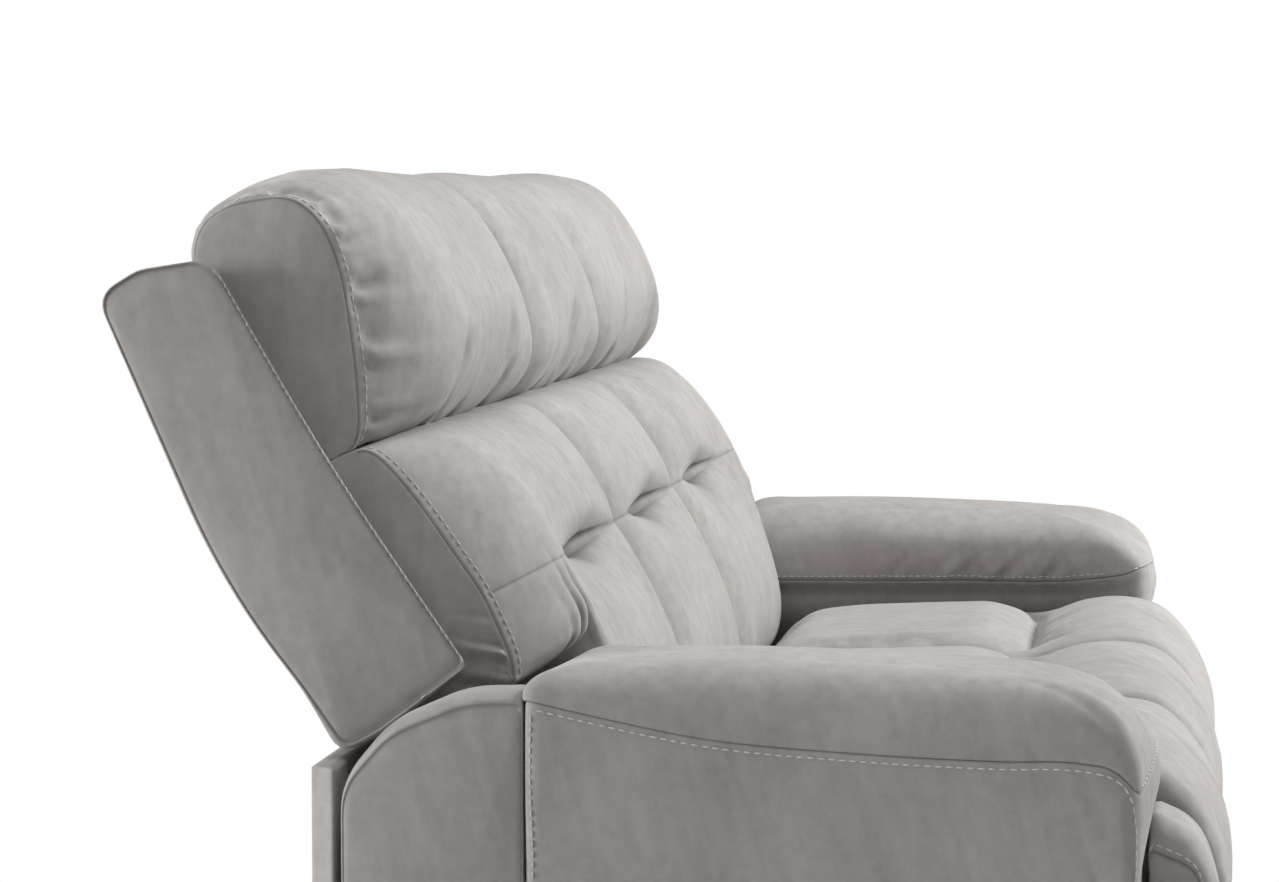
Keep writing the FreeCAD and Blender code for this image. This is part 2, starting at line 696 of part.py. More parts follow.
def drive_links():
    """Bars that turn the footrest with the front links."""
    x0, x1 = layer(3)
    bar = link(DRIVE_REAR, DRIVE_FRONT, SLIM_LINK_HALF, x0, x1)
    bar = bar.cut(rod(DRIVE_FRONT, PIN_R + PIN_FIT, x0, x1))
    return pair(bar.fuse(rod(DRIVE_REAR, PIN_R, x0, layer(1)[1])))


def footrest_brackets():
    """Angle brackets on the footrest board with the two link pins."""
    x0, x1 = layer(4)
    board_rear = FOOT_BOARD_Y + FOOT_BOARD_T
    low = FOOT_PIVOT[1] - 2 * LINK_HALF
    high = DRIVE_FRONT[1] + LINK_HALF
    web = plate([
        (board_rear, low, 0),
        (FOOT_PIVOT[0] + LINK_HALF, low, LINK_HALF / 2),
        (FOOT_PIVOT[0] + LINK_HALF, FOOT_PIVOT[1] + LINK_HALF, LINK_HALF),
        (DRIVE_FRONT[0] + LINK_HALF, high, LINK_HALF / 2),
        (board_rear, high, 0),
    ], x0, x1)
    flange = box(x0 - BRACKET_FLANGE, x1, board_rear, board_rear + LINK_T, low, high)
    web = web.fuse(flange)
    web = web.fuse(rod(FOOT_PIVOT, PIN_R, x0, layer(2)[1]))
    web = web.fuse(rod(DRIVE_FRONT, PIN_R, x0, layer(3)[1]))
    return pair(web)


# Footrest and fixed front pad
def foot_board(x0, x1):
    return box(x0 + FOOT_BOARD_MARGIN, x1 - FOOT_BOARD_MARGIN, FOOT_BOARD_Y, FOOT_BOARD_Y + FOOT_BOARD_T,
               FOOT_PAD_BOTTOM + FOOT_BOARD_MARGIN, FOOT_PAD_TOP - FOOT_BOARD_MARGIN)


def foot_pad_profile(crown, middle):
    front = FOOT_BOARD_Y - FOOT_PAD_EDGE - FOOT_PAD_CROWN * crown
    return [
        (FOOT_BOARD_Y, FOOT_PAD_BOTTOM, FOOT_PAD_BACK_R),
        (FOOT_BOARD_Y, FOOT_PAD_TOP, FOOT_PAD_BACK_R),
        (front + FOOT_PAD_BEVEL, FOOT_PAD_TOP, FOOT_PAD_EDGE_R),
        (front, FOOT_PAD_TOP - FOOT_PAD_SHOULDER, FOOT_PAD_SHOULDER_R),
        (front, FOOT_PAD_BOTTOM + FOOT_PAD_SHOULDER, FOOT_PAD_SHOULDER_R),
        (front + FOOT_PAD_BEVEL, FOOT_PAD_BOTTOM, FOOT_PAD_EDGE_R),
    ]


def foot_pad(x0, x1):
    return padded_loft(foot_pad_profile, x0, x1)


# Backs
def wing_profile():
    return [
        (0, 0, WING_REAR_R),
        (WING_FOOT, WING_FOOT_RISE, WING_FOOT_R),
        (WING_HEAD, BACK_H - WING_HEAD_DROP, WING_HEAD_R),
        (0, BACK_H, WING_REAR_R),
    ]


def back_panel(x0, x1):
    """The upholstered outside back, turned over the top of the frame."""
    cap = BACK_H - SHELL_CAP_H
    corners = [
        (0, 0, SHELL_R),
        (SHELL_T, 0, EDGE_R / 2),
        (SHELL_T, cap, 0),
        (FRAME_FRONT, cap, EDGE_R / 2),
        (FRAME_FRONT, BACK_H - SHELL_R, SHELL_R / 2),
        (0, BACK_H, SHELL_R),
    ]
    return plate(corners, x0, x1, back_point)


def end_shell():
    """The outside back of an end seat with the wing that closes its outer side."""
    panel = back_panel(-SEAT_HALF, WING_IN)
    wing = plate(wing_profile(), WING_IN, WING_OUT, back_point)
    return panel.fuse(wing)


def frame_bar(x0, x1, u0, u1):
    return plate([(SHELL_T, u0, 0), (FRAME_FRONT, u0, 0), (FRAME_FRONT, u1, 0), (SHELL_T, u1, 0)],
                 x0, x1, back_point)


def back_frame(x0, x1, post_x, foot_u):
    """Posts and two rails; foot_u gives the rear and front height of the feet of the inner posts."""
    rail_high = BACK_H - SHELL_CAP_H - FRAME_RAIL_H
    body = frame_bar(x0, x1, FRAME_RAIL_LOW, FRAME_RAIL_LOW + FRAME_RAIL_H)
    body = body.fuse(frame_bar(x0, x1, rail_high, rail_high + FRAME_RAIL_H))
    for x in post_x:
        foot = [(SHELL_T, foot_u[0], 0), (FRAME_FRONT, foot_u[1], 0),
                (FRAME_FRONT, rail_high, 0), (SHELL_T, rail_high, 0)]
        body = body.fuse(plate(foot, x, x + POST_W, back_point))
    if x1 > SEAT_HALF:
        body = body.fuse(frame_bar(x1 - POST_W, x1, FRAME_RAIL_LOW, rail_high))
    return body.removeSplitter()


def post_places():
    outer = RAIL_OUT + POST_LAP
    return [outer - POST_W, -outer]


def end_back_frame():
    return back_frame(-CUSHION_HALF, BACK_CUSHION_OUT, post_places(), (-POST_DROP, -POST_DROP))


def mid_back_frame():
    """The middle back's posts stand on the runners."""
    slant = math.radians(BACK_SLANT)
    drop = BACK_FOOT[1] - SEAT_FRAME_BOTTOM
    foot_u = [-(drop + n * math.sin(slant)) / math.cos(slant) for n in (SHELL_T, FRAME_FRONT)]
    return back_frame(-CUSHION_HALF, CUSHION_HALF, post_places(), foot_u)


def back_brackets():
    """Straps from the back posts down to the pins of the back pivot."""
    x1 = post_places()[0]
    x0 = x1 - LINK_T
    top = back_yz(SHELL_T + FRAME_T / 2, BRACKET_TOP)
    body = link(BACK_PIVOT, top, BACK_BRACKET_HALF, x0, x1)
    return pair(body.fuse(rod(BACK_PIVOT, HINGE_PIN_R, layer(0)[0], x1)))


def lumbar_profile(crown, middle):
    """Side outline of the lower back cushion, pulled in at the sewn line and most at the tuft."""
    tuft = TUFT_EDGE + TUFT_CROWN * crown - TUFT_PULL * middle
    shoulder = LUMBAR_SHOULDER + LUMBAR_SHOULDER_CROWN * crown
    return [
        (FRAME_FRONT, LUMBAR_TOP, PARTING_R),
        (FRAME_FRONT, LUMBAR_REAR_U, LUMBAR_REAR_R),
        (FRAME_FRONT + LUMBAR_REAR_KNEE[0], LUMBAR_REAR_KNEE[1], LUMBAR_REAR_R),
        (FRAME_FRONT + LUMBAR_REAR_FOOT[0], LUMBAR_BOTTOM + LUMBAR_REAR_FOOT[1], LUMBAR_REAR_FOOT_R),
        (LUMBAR_HEM + LUMBAR_HEM_CROWN * crown, LUMBAR_BOTTOM, LUMBAR_HEM_R),
        (LUMBAR_BELLY[0] + LUMBAR_BELLY_CROWN * crown, LUMBAR_BELLY[1], LUMBAR_BELLY_R),
        (LUMBAR_LOWER + LUMBAR_LOWER_CROWN * crown, TUFT_U - ROLL_REACH, LUMBAR_LOWER_R),
        (tuft, TUFT_U, TUFT_R),
        (LUMBAR_UPPER + LUMBAR_UPPER_CROWN * crown, TUFT_U + ROLL_REACH, LUMBAR_UPPER_R),
        (shoulder, LUMBAR_TOP - LUMBAR_SHOULDER_DROP, LUMBAR_SHOULDER_R),
        (PARTING_N, LUMBAR_TOP, PARTING_R),
    ]


def mid_lumbar():
    return padded_loft(lumbar_profile, -CUSHION_HALF, CUSHION_HALF, back_point)


def end_lumbar():
    """The wider lower cushion of an end seat; its outer end stops above the arm."""
    body = padded_loft(lumbar_profile, -CUSHION_HALF, BACK_CUSHION_OUT, back_point)
    below = [
        (FRONT_RAIL_Y, FOOT_H, 0),
        (FRONT_RAIL_Y, ARM_CLEAR_Z, 0),
        (ARM_REAR_Y + ARM_CLEAR_LAP, ARM_CLEAR_Z, 0),
        (*back_yz(WING_FOOT, WING_FOOT_RISE + END_CLEAR), 0),
        (*back_yz(0, END_CLEAR), 0),
        (BACK_FOOT[0] + BACK_H, FOOT_H, 0),
    ]
    return body.cut(plate(below, CUSHION_HALF, WING_IN))


def head_profile(crown, middle):
    """Side outline of the head roll, which leans forward of the back's slant."""
    brow_n = HEAD_BROW[0] + HEAD_BROW_CROWN[0] * crown
    brow_u = HEAD_BROW[1] + HEAD_BROW_CROWN[1] * crown
    return [
        (FRAME_FRONT, HEAD_BOTTOM + HEAD_FOOT_RISE, PARTING_R),
        (PARTING_N, HEAD_BOTTOM, HEAD_FOOT_R),
        (HEAD_CHIN[0] + HEAD_CHIN_CROWN * crown, HEAD_BOTTOM + HEAD_CHIN[1], HEAD_CHIN_R),
        (HEAD_FACE[0] + HEAD_FACE_CROWN * crown, HEAD_BOTTOM + HEAD_FACE[1], HEAD_FACE_R),
        (brow_n, HEAD_BOTTOM + brow_u, HEAD_BROW_R),
        (HEAD_PEAK[0], HEAD_BOTTOM + HEAD_PEAK[1] + HEAD_PEAK_CROWN * crown, HEAD_PEAK_R),
        (HEAD_NAPE[0], HEAD_BOTTOM + HEAD_NAPE[1] + HEAD_NAPE_CROWN * crown, HEAD_NAPE_R),
        (FRAME_FRONT, HEAD_BOTTOM + HEAD_REAR_H, HEAD_REAR_R),
    ]


def head_roll(x1):
    return padded_loft(head_profile, -CUSHION_HALF, x1, back_point)


# Every node, with end-seat shapes moved out to their seat and mirrored for the right
parts = {
    "base_rails": base_rails(),
    "base_runners": base_runners(),
    "base_feet": base_feet(),
    "rear_panel": rear_panel(),
    "slide_tracks": slide_tracks(),
    "mid_seat_frame": seat_frame(CUSHION_HALF, RAIL_IN),
    "mid_seat_webbing": seat_webbing(),
    "mid_seat_cushion": seat_cushion(),
    "mid_front_board": foot_board(-CUSHION_HALF, CUSHION_HALF),
    "mid_front_pad": foot_pad(-CUSHION_HALF, CUSHION_HALF),
    "mid_back_shell": back_panel(-SEAT_HALF, SEAT_HALF),
    "mid_back_frame": mid_back_frame(),
    "mid_lumbar": mid_lumbar(),
    "mid_headrest": head_roll(CUSHION_HALF),
}
arm_parts = {
    "arm_frame": arm_frame(),
    "arm_side": arm_side(),
    "arm_top": arm_top(),
    "arm_quarter": arm_quarter(),
    "handle_cup": handle_cup(),
    "handle_lever": handle_lever(),
}
seat_parts = {
    "seat_frame": seat_frame(FRONT_BOARD_OUT, layer(0)[0]),
    "seat_webbing": seat_webbing(),
    "seat_cushion": seat_cushion(),
    "seat_ear": seat_ear(),
    "seat_plates": seat_plates(),
    "front_links": front_links(),
    "rear_links": rear_links(),
    "coupler_links": coupler_links(),
    "drive_links": drive_links(),
    "footrest_brackets": footrest_brackets(),
    "footrest_board": foot_board(-CUSHION_HALF, FRONT_BOARD_OUT),
    "footrest_pad": foot_pad(-CUSHION_HALF, FRONT_BOARD_OUT),
    "back_shell": end_shell(),
    "back_frame": end_back_frame(),
    "back_brackets": back_brackets(),
    "lumbar": end_lumbar(),
    "headrest": head_roll(BACK_CUSHION_OUT),
}
for name, shape in arm_parts.items():
    parts["left_" + name] = shape
    parts["right_" + name] = mirrored(shape)
for name, shape in seat_parts.items():
    shape.translate(V(SEAT_PITCH, 0, 0))
    parts["left_" + name] = shape
    parts["right_" + name] = mirrored(shape)

# The origin goes to the middle of the whole box, on the floor
boxes = [shape.optimalBoundingBox() for shape in parts.values()]
centre_y = (min(b.YMin for b in boxes) + max(b.YMax for b in boxes)) / 2
for name, shape in parts.items():
    shape.translate(V(0, -centre_y, 0))
    shape.exportStep(f"parts/{name}.step")

print("moved by", -centre_y)
pivots = {
    "front pivot": FRONT_PIVOT,
    "rear pivot": REAR_PIVOT,
    "front knee": FRONT_KNEE,
    "rear knee": REAR_KNEE,
    "foot pivot": FOOT_PIVOT,
    "drive rear": DRIVE_REAR,
    "drive front": DRIVE_FRONT,
    "back pivot": BACK_PIVOT,
}
for name, (y, z) in pivots.items():
    print(name, round(y - centre_y, 3), round(z, 3))
print("lever axis", lever_axis()[0], round(lever_axis()[1] + CUP_R - centre_y, 3))
print("across", round(min(b.XMin for b in boxes), 2), round(max(b.XMax for b in boxes), 2))
print("depth", round(max(b.YMax for b in boxes) - min(b.YMin for b in boxes), 2))
print("height", round(min(b.ZMin for b in boxes), 2), round(max(b.ZMax for b in boxes), 2))
for name, shape in sorted(parts.items()):
    if not shape.isValid() or min(solid.Volume for solid in shape.Solids) <= 0:
        print("bad shape", name)
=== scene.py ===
"""Looks of a three-seat reclining sofa: soft goods, seams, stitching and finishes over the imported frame."""

import bpy
import math
import numpy as np
from mathutils import Matrix, Vector
from mathutils.bvhtree import BVHTree


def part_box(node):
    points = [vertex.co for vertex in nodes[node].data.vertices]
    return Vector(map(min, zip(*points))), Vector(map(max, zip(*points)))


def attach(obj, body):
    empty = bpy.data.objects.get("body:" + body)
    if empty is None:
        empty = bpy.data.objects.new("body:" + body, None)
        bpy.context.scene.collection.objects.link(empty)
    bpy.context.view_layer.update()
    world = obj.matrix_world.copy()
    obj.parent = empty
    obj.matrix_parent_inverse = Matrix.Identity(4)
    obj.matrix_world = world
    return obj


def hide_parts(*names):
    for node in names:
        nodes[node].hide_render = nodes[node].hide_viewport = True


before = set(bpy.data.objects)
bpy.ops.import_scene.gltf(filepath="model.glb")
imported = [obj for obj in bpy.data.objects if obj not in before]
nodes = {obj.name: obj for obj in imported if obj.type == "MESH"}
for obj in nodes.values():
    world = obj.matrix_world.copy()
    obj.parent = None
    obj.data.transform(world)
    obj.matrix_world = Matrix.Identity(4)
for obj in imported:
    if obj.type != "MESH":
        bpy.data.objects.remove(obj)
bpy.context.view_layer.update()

# Main places, in metres
ARM_FRONT_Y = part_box("left_arm_side")[0].y - 0.006
SEAT_PITCH = 0.510
SEAT_HALF = 0.250
BACK_OUT = 0.382
BACK_SLANT = math.radians(26.5)
BACK_FOOT = (ARM_FRONT_Y + 0.755, 0.527)
ARM_OUT = 1.020
ARM_FLOOR = 0.060


# Camera, light and floor
def add_object(name, data):
    made = bpy.data.objects.new(name, data)
    bpy.context.scene.collection.objects.link(made)
    return made


def make_camera():
    """The photographed view: from the sofa's right end, a little above the back."""
    focal_px = 3830
    image_px = 1279
    yaw = math.radians(7.55)
    pitch = math.radians(3.75)
    data = bpy.data.cameras.new("camera")
    data.sensor_width = 36
    data.lens = data.sensor_width * focal_px / image_px
    camera = add_object("camera", data)
    camera.location = (-4.433, ARM_FRONT_Y, 1.054)
    look = Vector((math.cos(pitch) * math.cos(yaw), math.cos(pitch) * math.sin(yaw), -math.sin(pitch)))
    camera.rotation_euler = look.to_track_quat("-Z", "Y").to_euler()
    bpy.context.scene.camera = camera


def add_lamp(name, place, size, power):
    """Round lamp aimed at the middle of the sofa."""
    aim = Vector((0, 0, 0.6))
    data = bpy.data.lights.new(name, "AREA")
    data.shape = "DISK"
    data.size = size
    data.energy = power
    lamp = add_object(name, data)
    lamp.location = place
    lamp.rotation_euler = (aim - Vector(place)).to_track_quat("-Z", "Y").to_euler()


# Shader helpers
class Wire:
    """A shader socket that can be used in sums."""

    def __init__(self, finish, socket):
        self.finish = finish
        self.socket = socket

    def sum(self, operation, first, second):
        return self.finish.node("ShaderNodeMath", {"operation": operation}, {0: first, 1: second})

    def __add__(self, other):
        return self.sum("ADD", self, other)

    def __rsub__(self, other):
        return self.sum("SUBTRACT", other, self)

    def __mul__(self, other):
        return self.sum("MULTIPLY", self, other)

    __radd__ = __add__


class Finish:
    """A material and the nodes that make it."""

    def __init__(self, tree):
        self.tree = tree
        self.tree.nodes.clear()

    def node(self, kind, settings=None, inputs=None, output=0):
        made = self.tree.nodes.new(kind)
        for key, value in (settings or {}).items():
            setattr(made, key, value)
        for key, value in (inputs or {}).items():
            if isinstance(value, Wire):
                self.tree.links.new(value.socket, made.inputs[key])
            else:
                made.inputs[key].default_value = value
        if len(made.outputs) == 0:
            return None
        return Wire(self, made.outputs[output])

    def place(self, stretch=(1, 1, 1), turn=(0, 0, 0)):
        """Object coordinates, turned and then stretched."""
        where = self.node("ShaderNodeTexCoord", output="Object")
        turned = self.node("ShaderNodeMapping", {}, {0: where, 2: turn})
        return self.node("ShaderNodeMapping", {}, {0: turned, 3: stretch})

    def noise(self, where, scale, detail=2.0, rough=0.5):
        return self.node("ShaderNodeTexNoise", {}, {"Vector": where, "Scale": scale, "Detail": detail,
                                                    "Roughness": rough})

    def ramp(self, value, low, high, to_low=0.0, to_high=1.0):
        return self.node("ShaderNodeMapRange", {}, {0: value, 1: low, 2: high, 3: to_low, 4: to_high})

    def mix(self, factor, first, second):
        return self.node("ShaderNodeMix", {"data_type": "RGBA"}, {0: factor, 6: first, 7: second}, 2)

    def attribute(self, name):
        return self.node("ShaderNodeAttribute", {"attribute_name": name}, {}, "Fac")

    def bump(self, height, strength, distance):
        return self.node("ShaderNodeBump", {}, {"Height": height, "Strength": strength, "Distance": distance})

    def looked_at(self):
        """1 where a ray shows the stage to the eye, straight on, in a reflection or through a piece."""
        seen, glossy, through = (self.node("ShaderNodeLightPath", {}, {}, "Is " + kind + " Ray")
                                 for kind in ("Camera", "Glossy", "Transmission"))
        return self.node("ShaderNodeClamp", {}, {0: seen + glossy + through})

    def blend(self, share, one, other, output):
        """Ends the tree with a mix of two shaders."""
        both = self.node("ShaderNodeMixShader", {}, {0: share, 1: one, 2: other})
        self.node(output, {}, {0: both})

    def principled(self, inputs):
        shader = self.node("ShaderNodeBsdfPrincipled", {}, inputs)
        self.node("ShaderNodeOutputMaterial", {}, {0: shader})


def material(name):
    made = bpy.data.materials.new(name)
    made.use_nodes = True
    return made, Finish(made.node_tree)


def tone(red, green, blue):
    """A colour as it shows on screen, 0 to 255, turned into the renderer's linear colour."""
    def linear(value):
        part = value / 255
        return part / 12.92 if part <= 0.04045 else ((part + 0.055) / 1.055) ** 2.4
    return (linear(red), linear(green), linear(blue), 1)


# Finishes
def suede_finish(name, nap_turn):
    """Brushed suede-like upholstery: soft clouds, nap strokes that run one way, fine pores, dark seams, and
    painted shade from the seam attribute in creases, pits and valleys.
    """
    made, f = material(name)
    flat = f.place()
    strokes = f.place(stretch=(60, 60, 9), turn=nap_turn)
    cloud = f.noise(flat, 6.0, 4.0, 0.6)
    nap = f.noise(strokes, 1.0, 3.0, 0.55)
    mottle = f.noise(flat, 75.0, 4.0, 0.6)
    pores = f.noise(flat, 700.0, 2.0, 0.6)
    soft = f.noise(flat, 30.0, 3.0, 0.5)
    shade = f.ramp(cloud * 0.40 + nap * 0.30 + mottle * 0.30, 0.38, 0.62)
    colour = f.mix(shade, tone(163, 159, 156), tone(185, 181, 178))
    # The seam attribute darkens the colour: dark seam lines, and painted shade in creases, pits, folds,
    # valleys, under rolls and beside the seats.
    seam = f.attribute("seam")
    colour = f.mix(seam * 0.6, colour, tone(84, 80, 77))
    rough = 0.84 - shade * 0.10
    height = pores * 0.30 + mottle * 0.5 + soft * 0.9
    f.principled({"Base Color": colour, "Roughness": rough, "Normal": f.bump(height, 0.4, 0.0007),
                  "Sheen Weight": 0.15, "Sheen Roughness": 0.45, "Specular IOR Level": 0.30})
    return made


def thread_finish():
    made, f = material("stitching_thread")
    twist = f.noise(f.place(stretch=(900, 900, 900)), 1.0, 2.0)
    colour = f.mix(f.ramp(twist, 0.3, 0.7), tone(208, 205, 202), tone(234, 231, 228))
    f.principled({"Base Color": colour, "Roughness": 0.6, "Normal": f.bump(twist, 0.4, 0.0003)})
    return made


def steel_finish():
    """Black powder-coated steel with worn, lighter spots."""
    made, f = material("painted_steel")
    flat = f.place()
    speck = f.noise(flat, 900.0, 2.0)
    wear = f.ramp(f.noise(flat, 34.0, 5.0, 0.65), 0.60, 0.74)
    colour = f.mix(wear, tone(38, 38, 40), tone(92, 92, 94))
    f.principled({"Base Color": colour, "Roughness": 0.46 + wear * 0.12, "Metallic": 0.35 + wear * 0.3,
                  "Normal": f.bump(speck, 0.25, 0.0004)})
    return made


def wood_finish():
    """Plain rough-sawn board: straight grain along the sofa, darker late-wood lines."""
    made, f = material("frame_board")
    grain = f.noise(f.place(stretch=(2.2, 46, 46)), 1.0, 6.0, 0.6)
    lines = f.noise(f.place(stretch=(5, 160, 160)), 1.0, 3.0, 0.5)
    colour = f.mix(f.ramp(grain * 0.7 + lines * 0.3, 0.35, 0.65), tone(176, 138, 98), tone(214, 180, 136))
    f.principled({"Base Color": colour, "Roughness": 0.62 + lines * 0.2,
                  "Normal": f.bump(lines, 0.35, 0.0006)})
    return made


def plastic_finish():
    """Moulded black plastic with a fine spark texture."""
    made, f = material("moulded_plastic")
    spark = f.noise(f.place(), 1400.0, 2.0, 0.5)
    cloud = f.noise(f.place(), 22.0, 2.0)
    colour = f.mix(cloud, tone(30, 30, 31), tone(42, 42, 43))
    f.principled({"Base Color": colour, "Roughness": 0.42 + spark * 0.2,
                  "Normal": f.bump(spark, 0.3, 0.0002)})
    return made


def webbing_finish():
    """Woven elastic strap: a fine over-and-under weave."""
    made, f = material("woven_strap")
    warp, weft = (f.node("ShaderNodeTexWave", {"bands_direction": way},
                         {0: f.place(), "Scale": 120.0, "Distortion": 0.3}) for way in "XY")
    weave = warp * weft
    colour = f.mix(weave, tone(58, 56, 54), tone(112, 108, 104))
    f.principled({"Base Color": colour, "Roughness": 0.85, "Normal": f.bump(weave, 0.6, 0.0006)})
    return made


def make_stage():
    """Pale floor that keeps the shadow near the sofa, a white surround, and the lamps."""
    fade_from = 1.05
    fade_to = 1.45
    surround_light = 0.11
    white = (1, 1, 1, 1)
    bpy.ops.mesh.primitive_circle_add(vertices=96, radius=14, fill_type="NGON", location=(0, 0, 0))
    floor = bpy.context.object
    floor.name = "floor"
    made, f = material("pale_floor")
    where = f.node("ShaderNodeTexCoord", output="Object")
    distance = f.node("ShaderNodeVectorMath", {"operation": "LENGTH"}, {0: where}, "Value")
    pale = f.node("ShaderNodeBsdfDiffuse", {}, {0: tone(232, 231, 230)})
    bright = f.node("ShaderNodeEmission", {}, {0: white, 1: 1.0})
    f.blend(f.ramp(distance, fade_from, fade_to) * f.looked_at(), pale, bright, "ShaderNodeOutputMaterial")
    floor.data.materials.append(made)

    world = bpy.data.worlds.new("surround")
    bpy.context.scene.world = world
    world.use_nodes = True
    f = Finish(world.node_tree)
    plain = f.node("ShaderNodeBackground", {}, {0: white, 1: surround_light})
    bright = f.node("ShaderNodeBackground", {}, {0: white, 1: 1.0})
    f.blend(f.looked_at(), plain, bright, "ShaderNodeOutputWorld")
    bpy.context.scene.view_settings.view_transform = "Standard"
    add_lamp("key_lamp", (1.7, -3.4, 3.5), size=1.8, power=226)
    add_lamp("top_lamp", (-1.3, -0.2, 3.5), size=2.2, power=34)
    add_lamp("rear_lamp", (-1.9, 4.3, 1.0), size=1.6, power=130)


# Grid tools for soft skins
def loop(corners, at):
    """Smooth closed curve through the corners, read at places counted in corners."""
    points = np.asarray(corners, float)
    count = len(points)
    i = np.floor(at).astype(int)
    s = (at - i)[:, None]
    p0, p1, p2, p3 = (points[(i + k) % count] for k in (-1, 0, 1, 2))
    return p1 + 0.5 * s * (p2 - p0 + s * (2 * p0 - 5 * p1 + 4 * p2 - p3 + s * (3 * (p1 - p2) + p3 - p0)))


def rounded(corners, at):
    """Closed outline of straight runs and round corners (a, b, radius), read at places counted in corners."""
    points = np.asarray(corners, float)
    count = len(points)
    place = points[:, :2]
    before = np.roll(place, 1, axis=0) - place
    after = np.roll(place, -1, axis=0) - place
    before /= np.linalg.norm(before, axis=1, keepdims=True)
    after /= np.linalg.norm(after, axis=1, keepdims=True)
    half = np.arccos(np.clip((before * after).sum(axis=1), -1, 1)) / 2
    reach = (points[:, 2] / np.tan(half))[:, None]
    first = place + before * reach
    last = place + after * reach
    i = np.floor(at).astype(int) % count
    s = np.clip((at - np.floor(at)) * 2, 0, 1)[:, None]
    run = np.clip((at - np.floor(at)) * 2 - 1, 0, 1)[:, None]
    bend = (1 - s) ** 2 * first[i] + 2 * s * (1 - s) * place[i] + s * s * last[i]
    return np.where(run > 0, last[i] + run * (first[(i + 1) % count] - last[i]), bend)


def outline_at(corners, at):
    return rounded(corners, at) if corners.shape[1] == 3 else loop(corners, at)


def even_places(outlines, step):
    """Places round matching outlines, spaced about a step apart on their mean length."""
    dense = np.linspace(0, len(outlines[0]), len(outlines[0]) * 40 + 1)
    speed = 0
    for corners in outlines:
        speed = speed + np.linalg.norm(np.diff(outline_at(corners, dense), axis=0), axis=1)
    run = np.concatenate([[0], np.cumsum(speed / len(outlines))])
    count = int(round(run[-1] / step))
    return np.interp(np.arange(count) * run[-1] / count, run, dense)


def run_along(points):
    """Distance along a path at each of its points."""
    return np.concatenate([[0], np.cumsum(np.linalg.norm(np.diff(points, axis=0), axis=1))])


def hermite(values, knots, wanted):
    """Smooth values between knots, along the first axis."""
    slope = np.gradient(values, knots, axis=0)
    i = np.clip(np.searchsorted(knots, wanted) - 1, 0, len(knots) - 2)
    width = (knots[i + 1] - knots[i])[:, None, None]
    s = ((wanted - knots[i]) / (knots[i + 1] - knots[i]))[:, None, None]
    start = values[i] * (1 + 2 * s) * (1 - s) ** 2 + values[i + 1] * s * s * (3 - 2 * s)
    return start + width * (slope[i] * s * (1 - s) ** 2 - slope[i + 1] * s * s * (1 - s))


def finer(values, rows, columns, new_rows, new_columns, turns):
    """The grid's values on closer rows and columns; the columns run round."""
    tall = hermite(values, rows, new_rows)
    around = np.concatenate([columns[-3:] - turns, columns, columns[:3] + turns])
    wide = np.concatenate([tall[:, -3:], tall, tall[:, :3]], axis=1)
    return hermite(wide.transpose(1, 0, 2), around, new_columns).transpose(1, 0, 2)


def row_places(width, cap, step, close=()):
    """Rows from one end panel over the width to the other, closer together beside the named seams."""
    inmost = 0.96 * cap
    cap_rows = max(4, round(cap / step))
    rows = list(np.linspace(-inmost, 0, cap_rows, endpoint=False))
    rows += list(np.linspace(0, width, round(width / step), endpoint=False))
    rows += list(np.linspace(width, width + inmost, cap_rows))
    beside = [0.0014, 0.0034, 0.0060, 0.0092]
    clear = 0.011
    for seam in close:
        rows = [row for row in rows if abs(row - seam) > clear]
        rows += [seam] + [seam + side * gap for gap in beside for side in (-1, 1)]
    return np.array(sorted(rows))


def normals_of(grid):
    along = np.gradient(grid, axis=0)
    wrapped = np.concatenate([grid[:, -1:], grid, grid[:, :1]], axis=1)
    around = (wrapped[:, 2:] - wrapped[:, :-2]) / 2
    normal = np.cross(around, along)
    return normal / np.maximum(np.linalg.norm(normal, axis=2, keepdims=True), 1e-12)


def relaxed(grid):
    """Rounds sharp rows and columns a little."""
    around = 0.25 * np.roll(grid, 1, axis=1) + 0.5 * grid + 0.25 * np.roll(grid, -1, axis=1)
    both = around.copy()
    both[1:-1] = 0.25 * around[:-2] + 0.5 * around[1:-1] + 0.25 * around[2:]
    return both


def folded_shut(ring, start):
    """Faces that close a long narrow ring by pairing its two sides, from one end on."""
    count = len(ring)
    faces = []
    for k in range(count // 2):
        corners = [ring[(start + step) % count] for step in (k, k + 1, -k - 1, -k)]
        faces.append(list(dict.fromkeys(corners)))
    return [face for face in faces if len(face) > 2]


def mesh_object(name, points, faces):
    mesh = bpy.data.meshes.new(name)
    mesh.from_pydata(points.tolist(), [], faces)
    mesh.polygons.foreach_set("use_smooth", [True] * len(faces))
    return add_object(name, mesh)


def skin_object(name, grid, seam=0.0, fold_start=None):
    """A closed mesh from rows of points that run round; a face, or a fold, closes each end.

    The seam values darken the colour: dark seam lines, and painted shade in creases, pits, folds, valleys,
    under rolls and beside the seats.
    """
    rows, columns, _ = grid.shape
    first = np.arange(rows * columns).reshape(rows, columns)
    after = np.roll(first, -1, axis=1)
    quads = np.stack([first[:-1], after[:-1], after[1:], first[1:]], axis=-1).reshape(-1, 4)
    points = grid.reshape(-1, 3)
    corner = points[quads] - points.mean(axis=0)
    volume = np.einsum("ij,ij->i", corner[:, 0], np.cross(corner[:, 1], corner[:, 2])).sum()
    last = first[-1].tolist()
    faces = quads.tolist() + [first[0][::-1].tolist()]
    faces += [last] if fold_start is None else folded_shut(last, fold_start)
    if volume < 0:
        faces = [face[::-1] for face in faces]
    piece = mesh_object(name, points, faces)
    values = np.broadcast_to(seam, (rows, columns)).astype(np.float32)
    piece.data.attributes.new("seam", "FLOAT", "POINT").data.foreach_set("value", values.reshape(-1))
    return piece


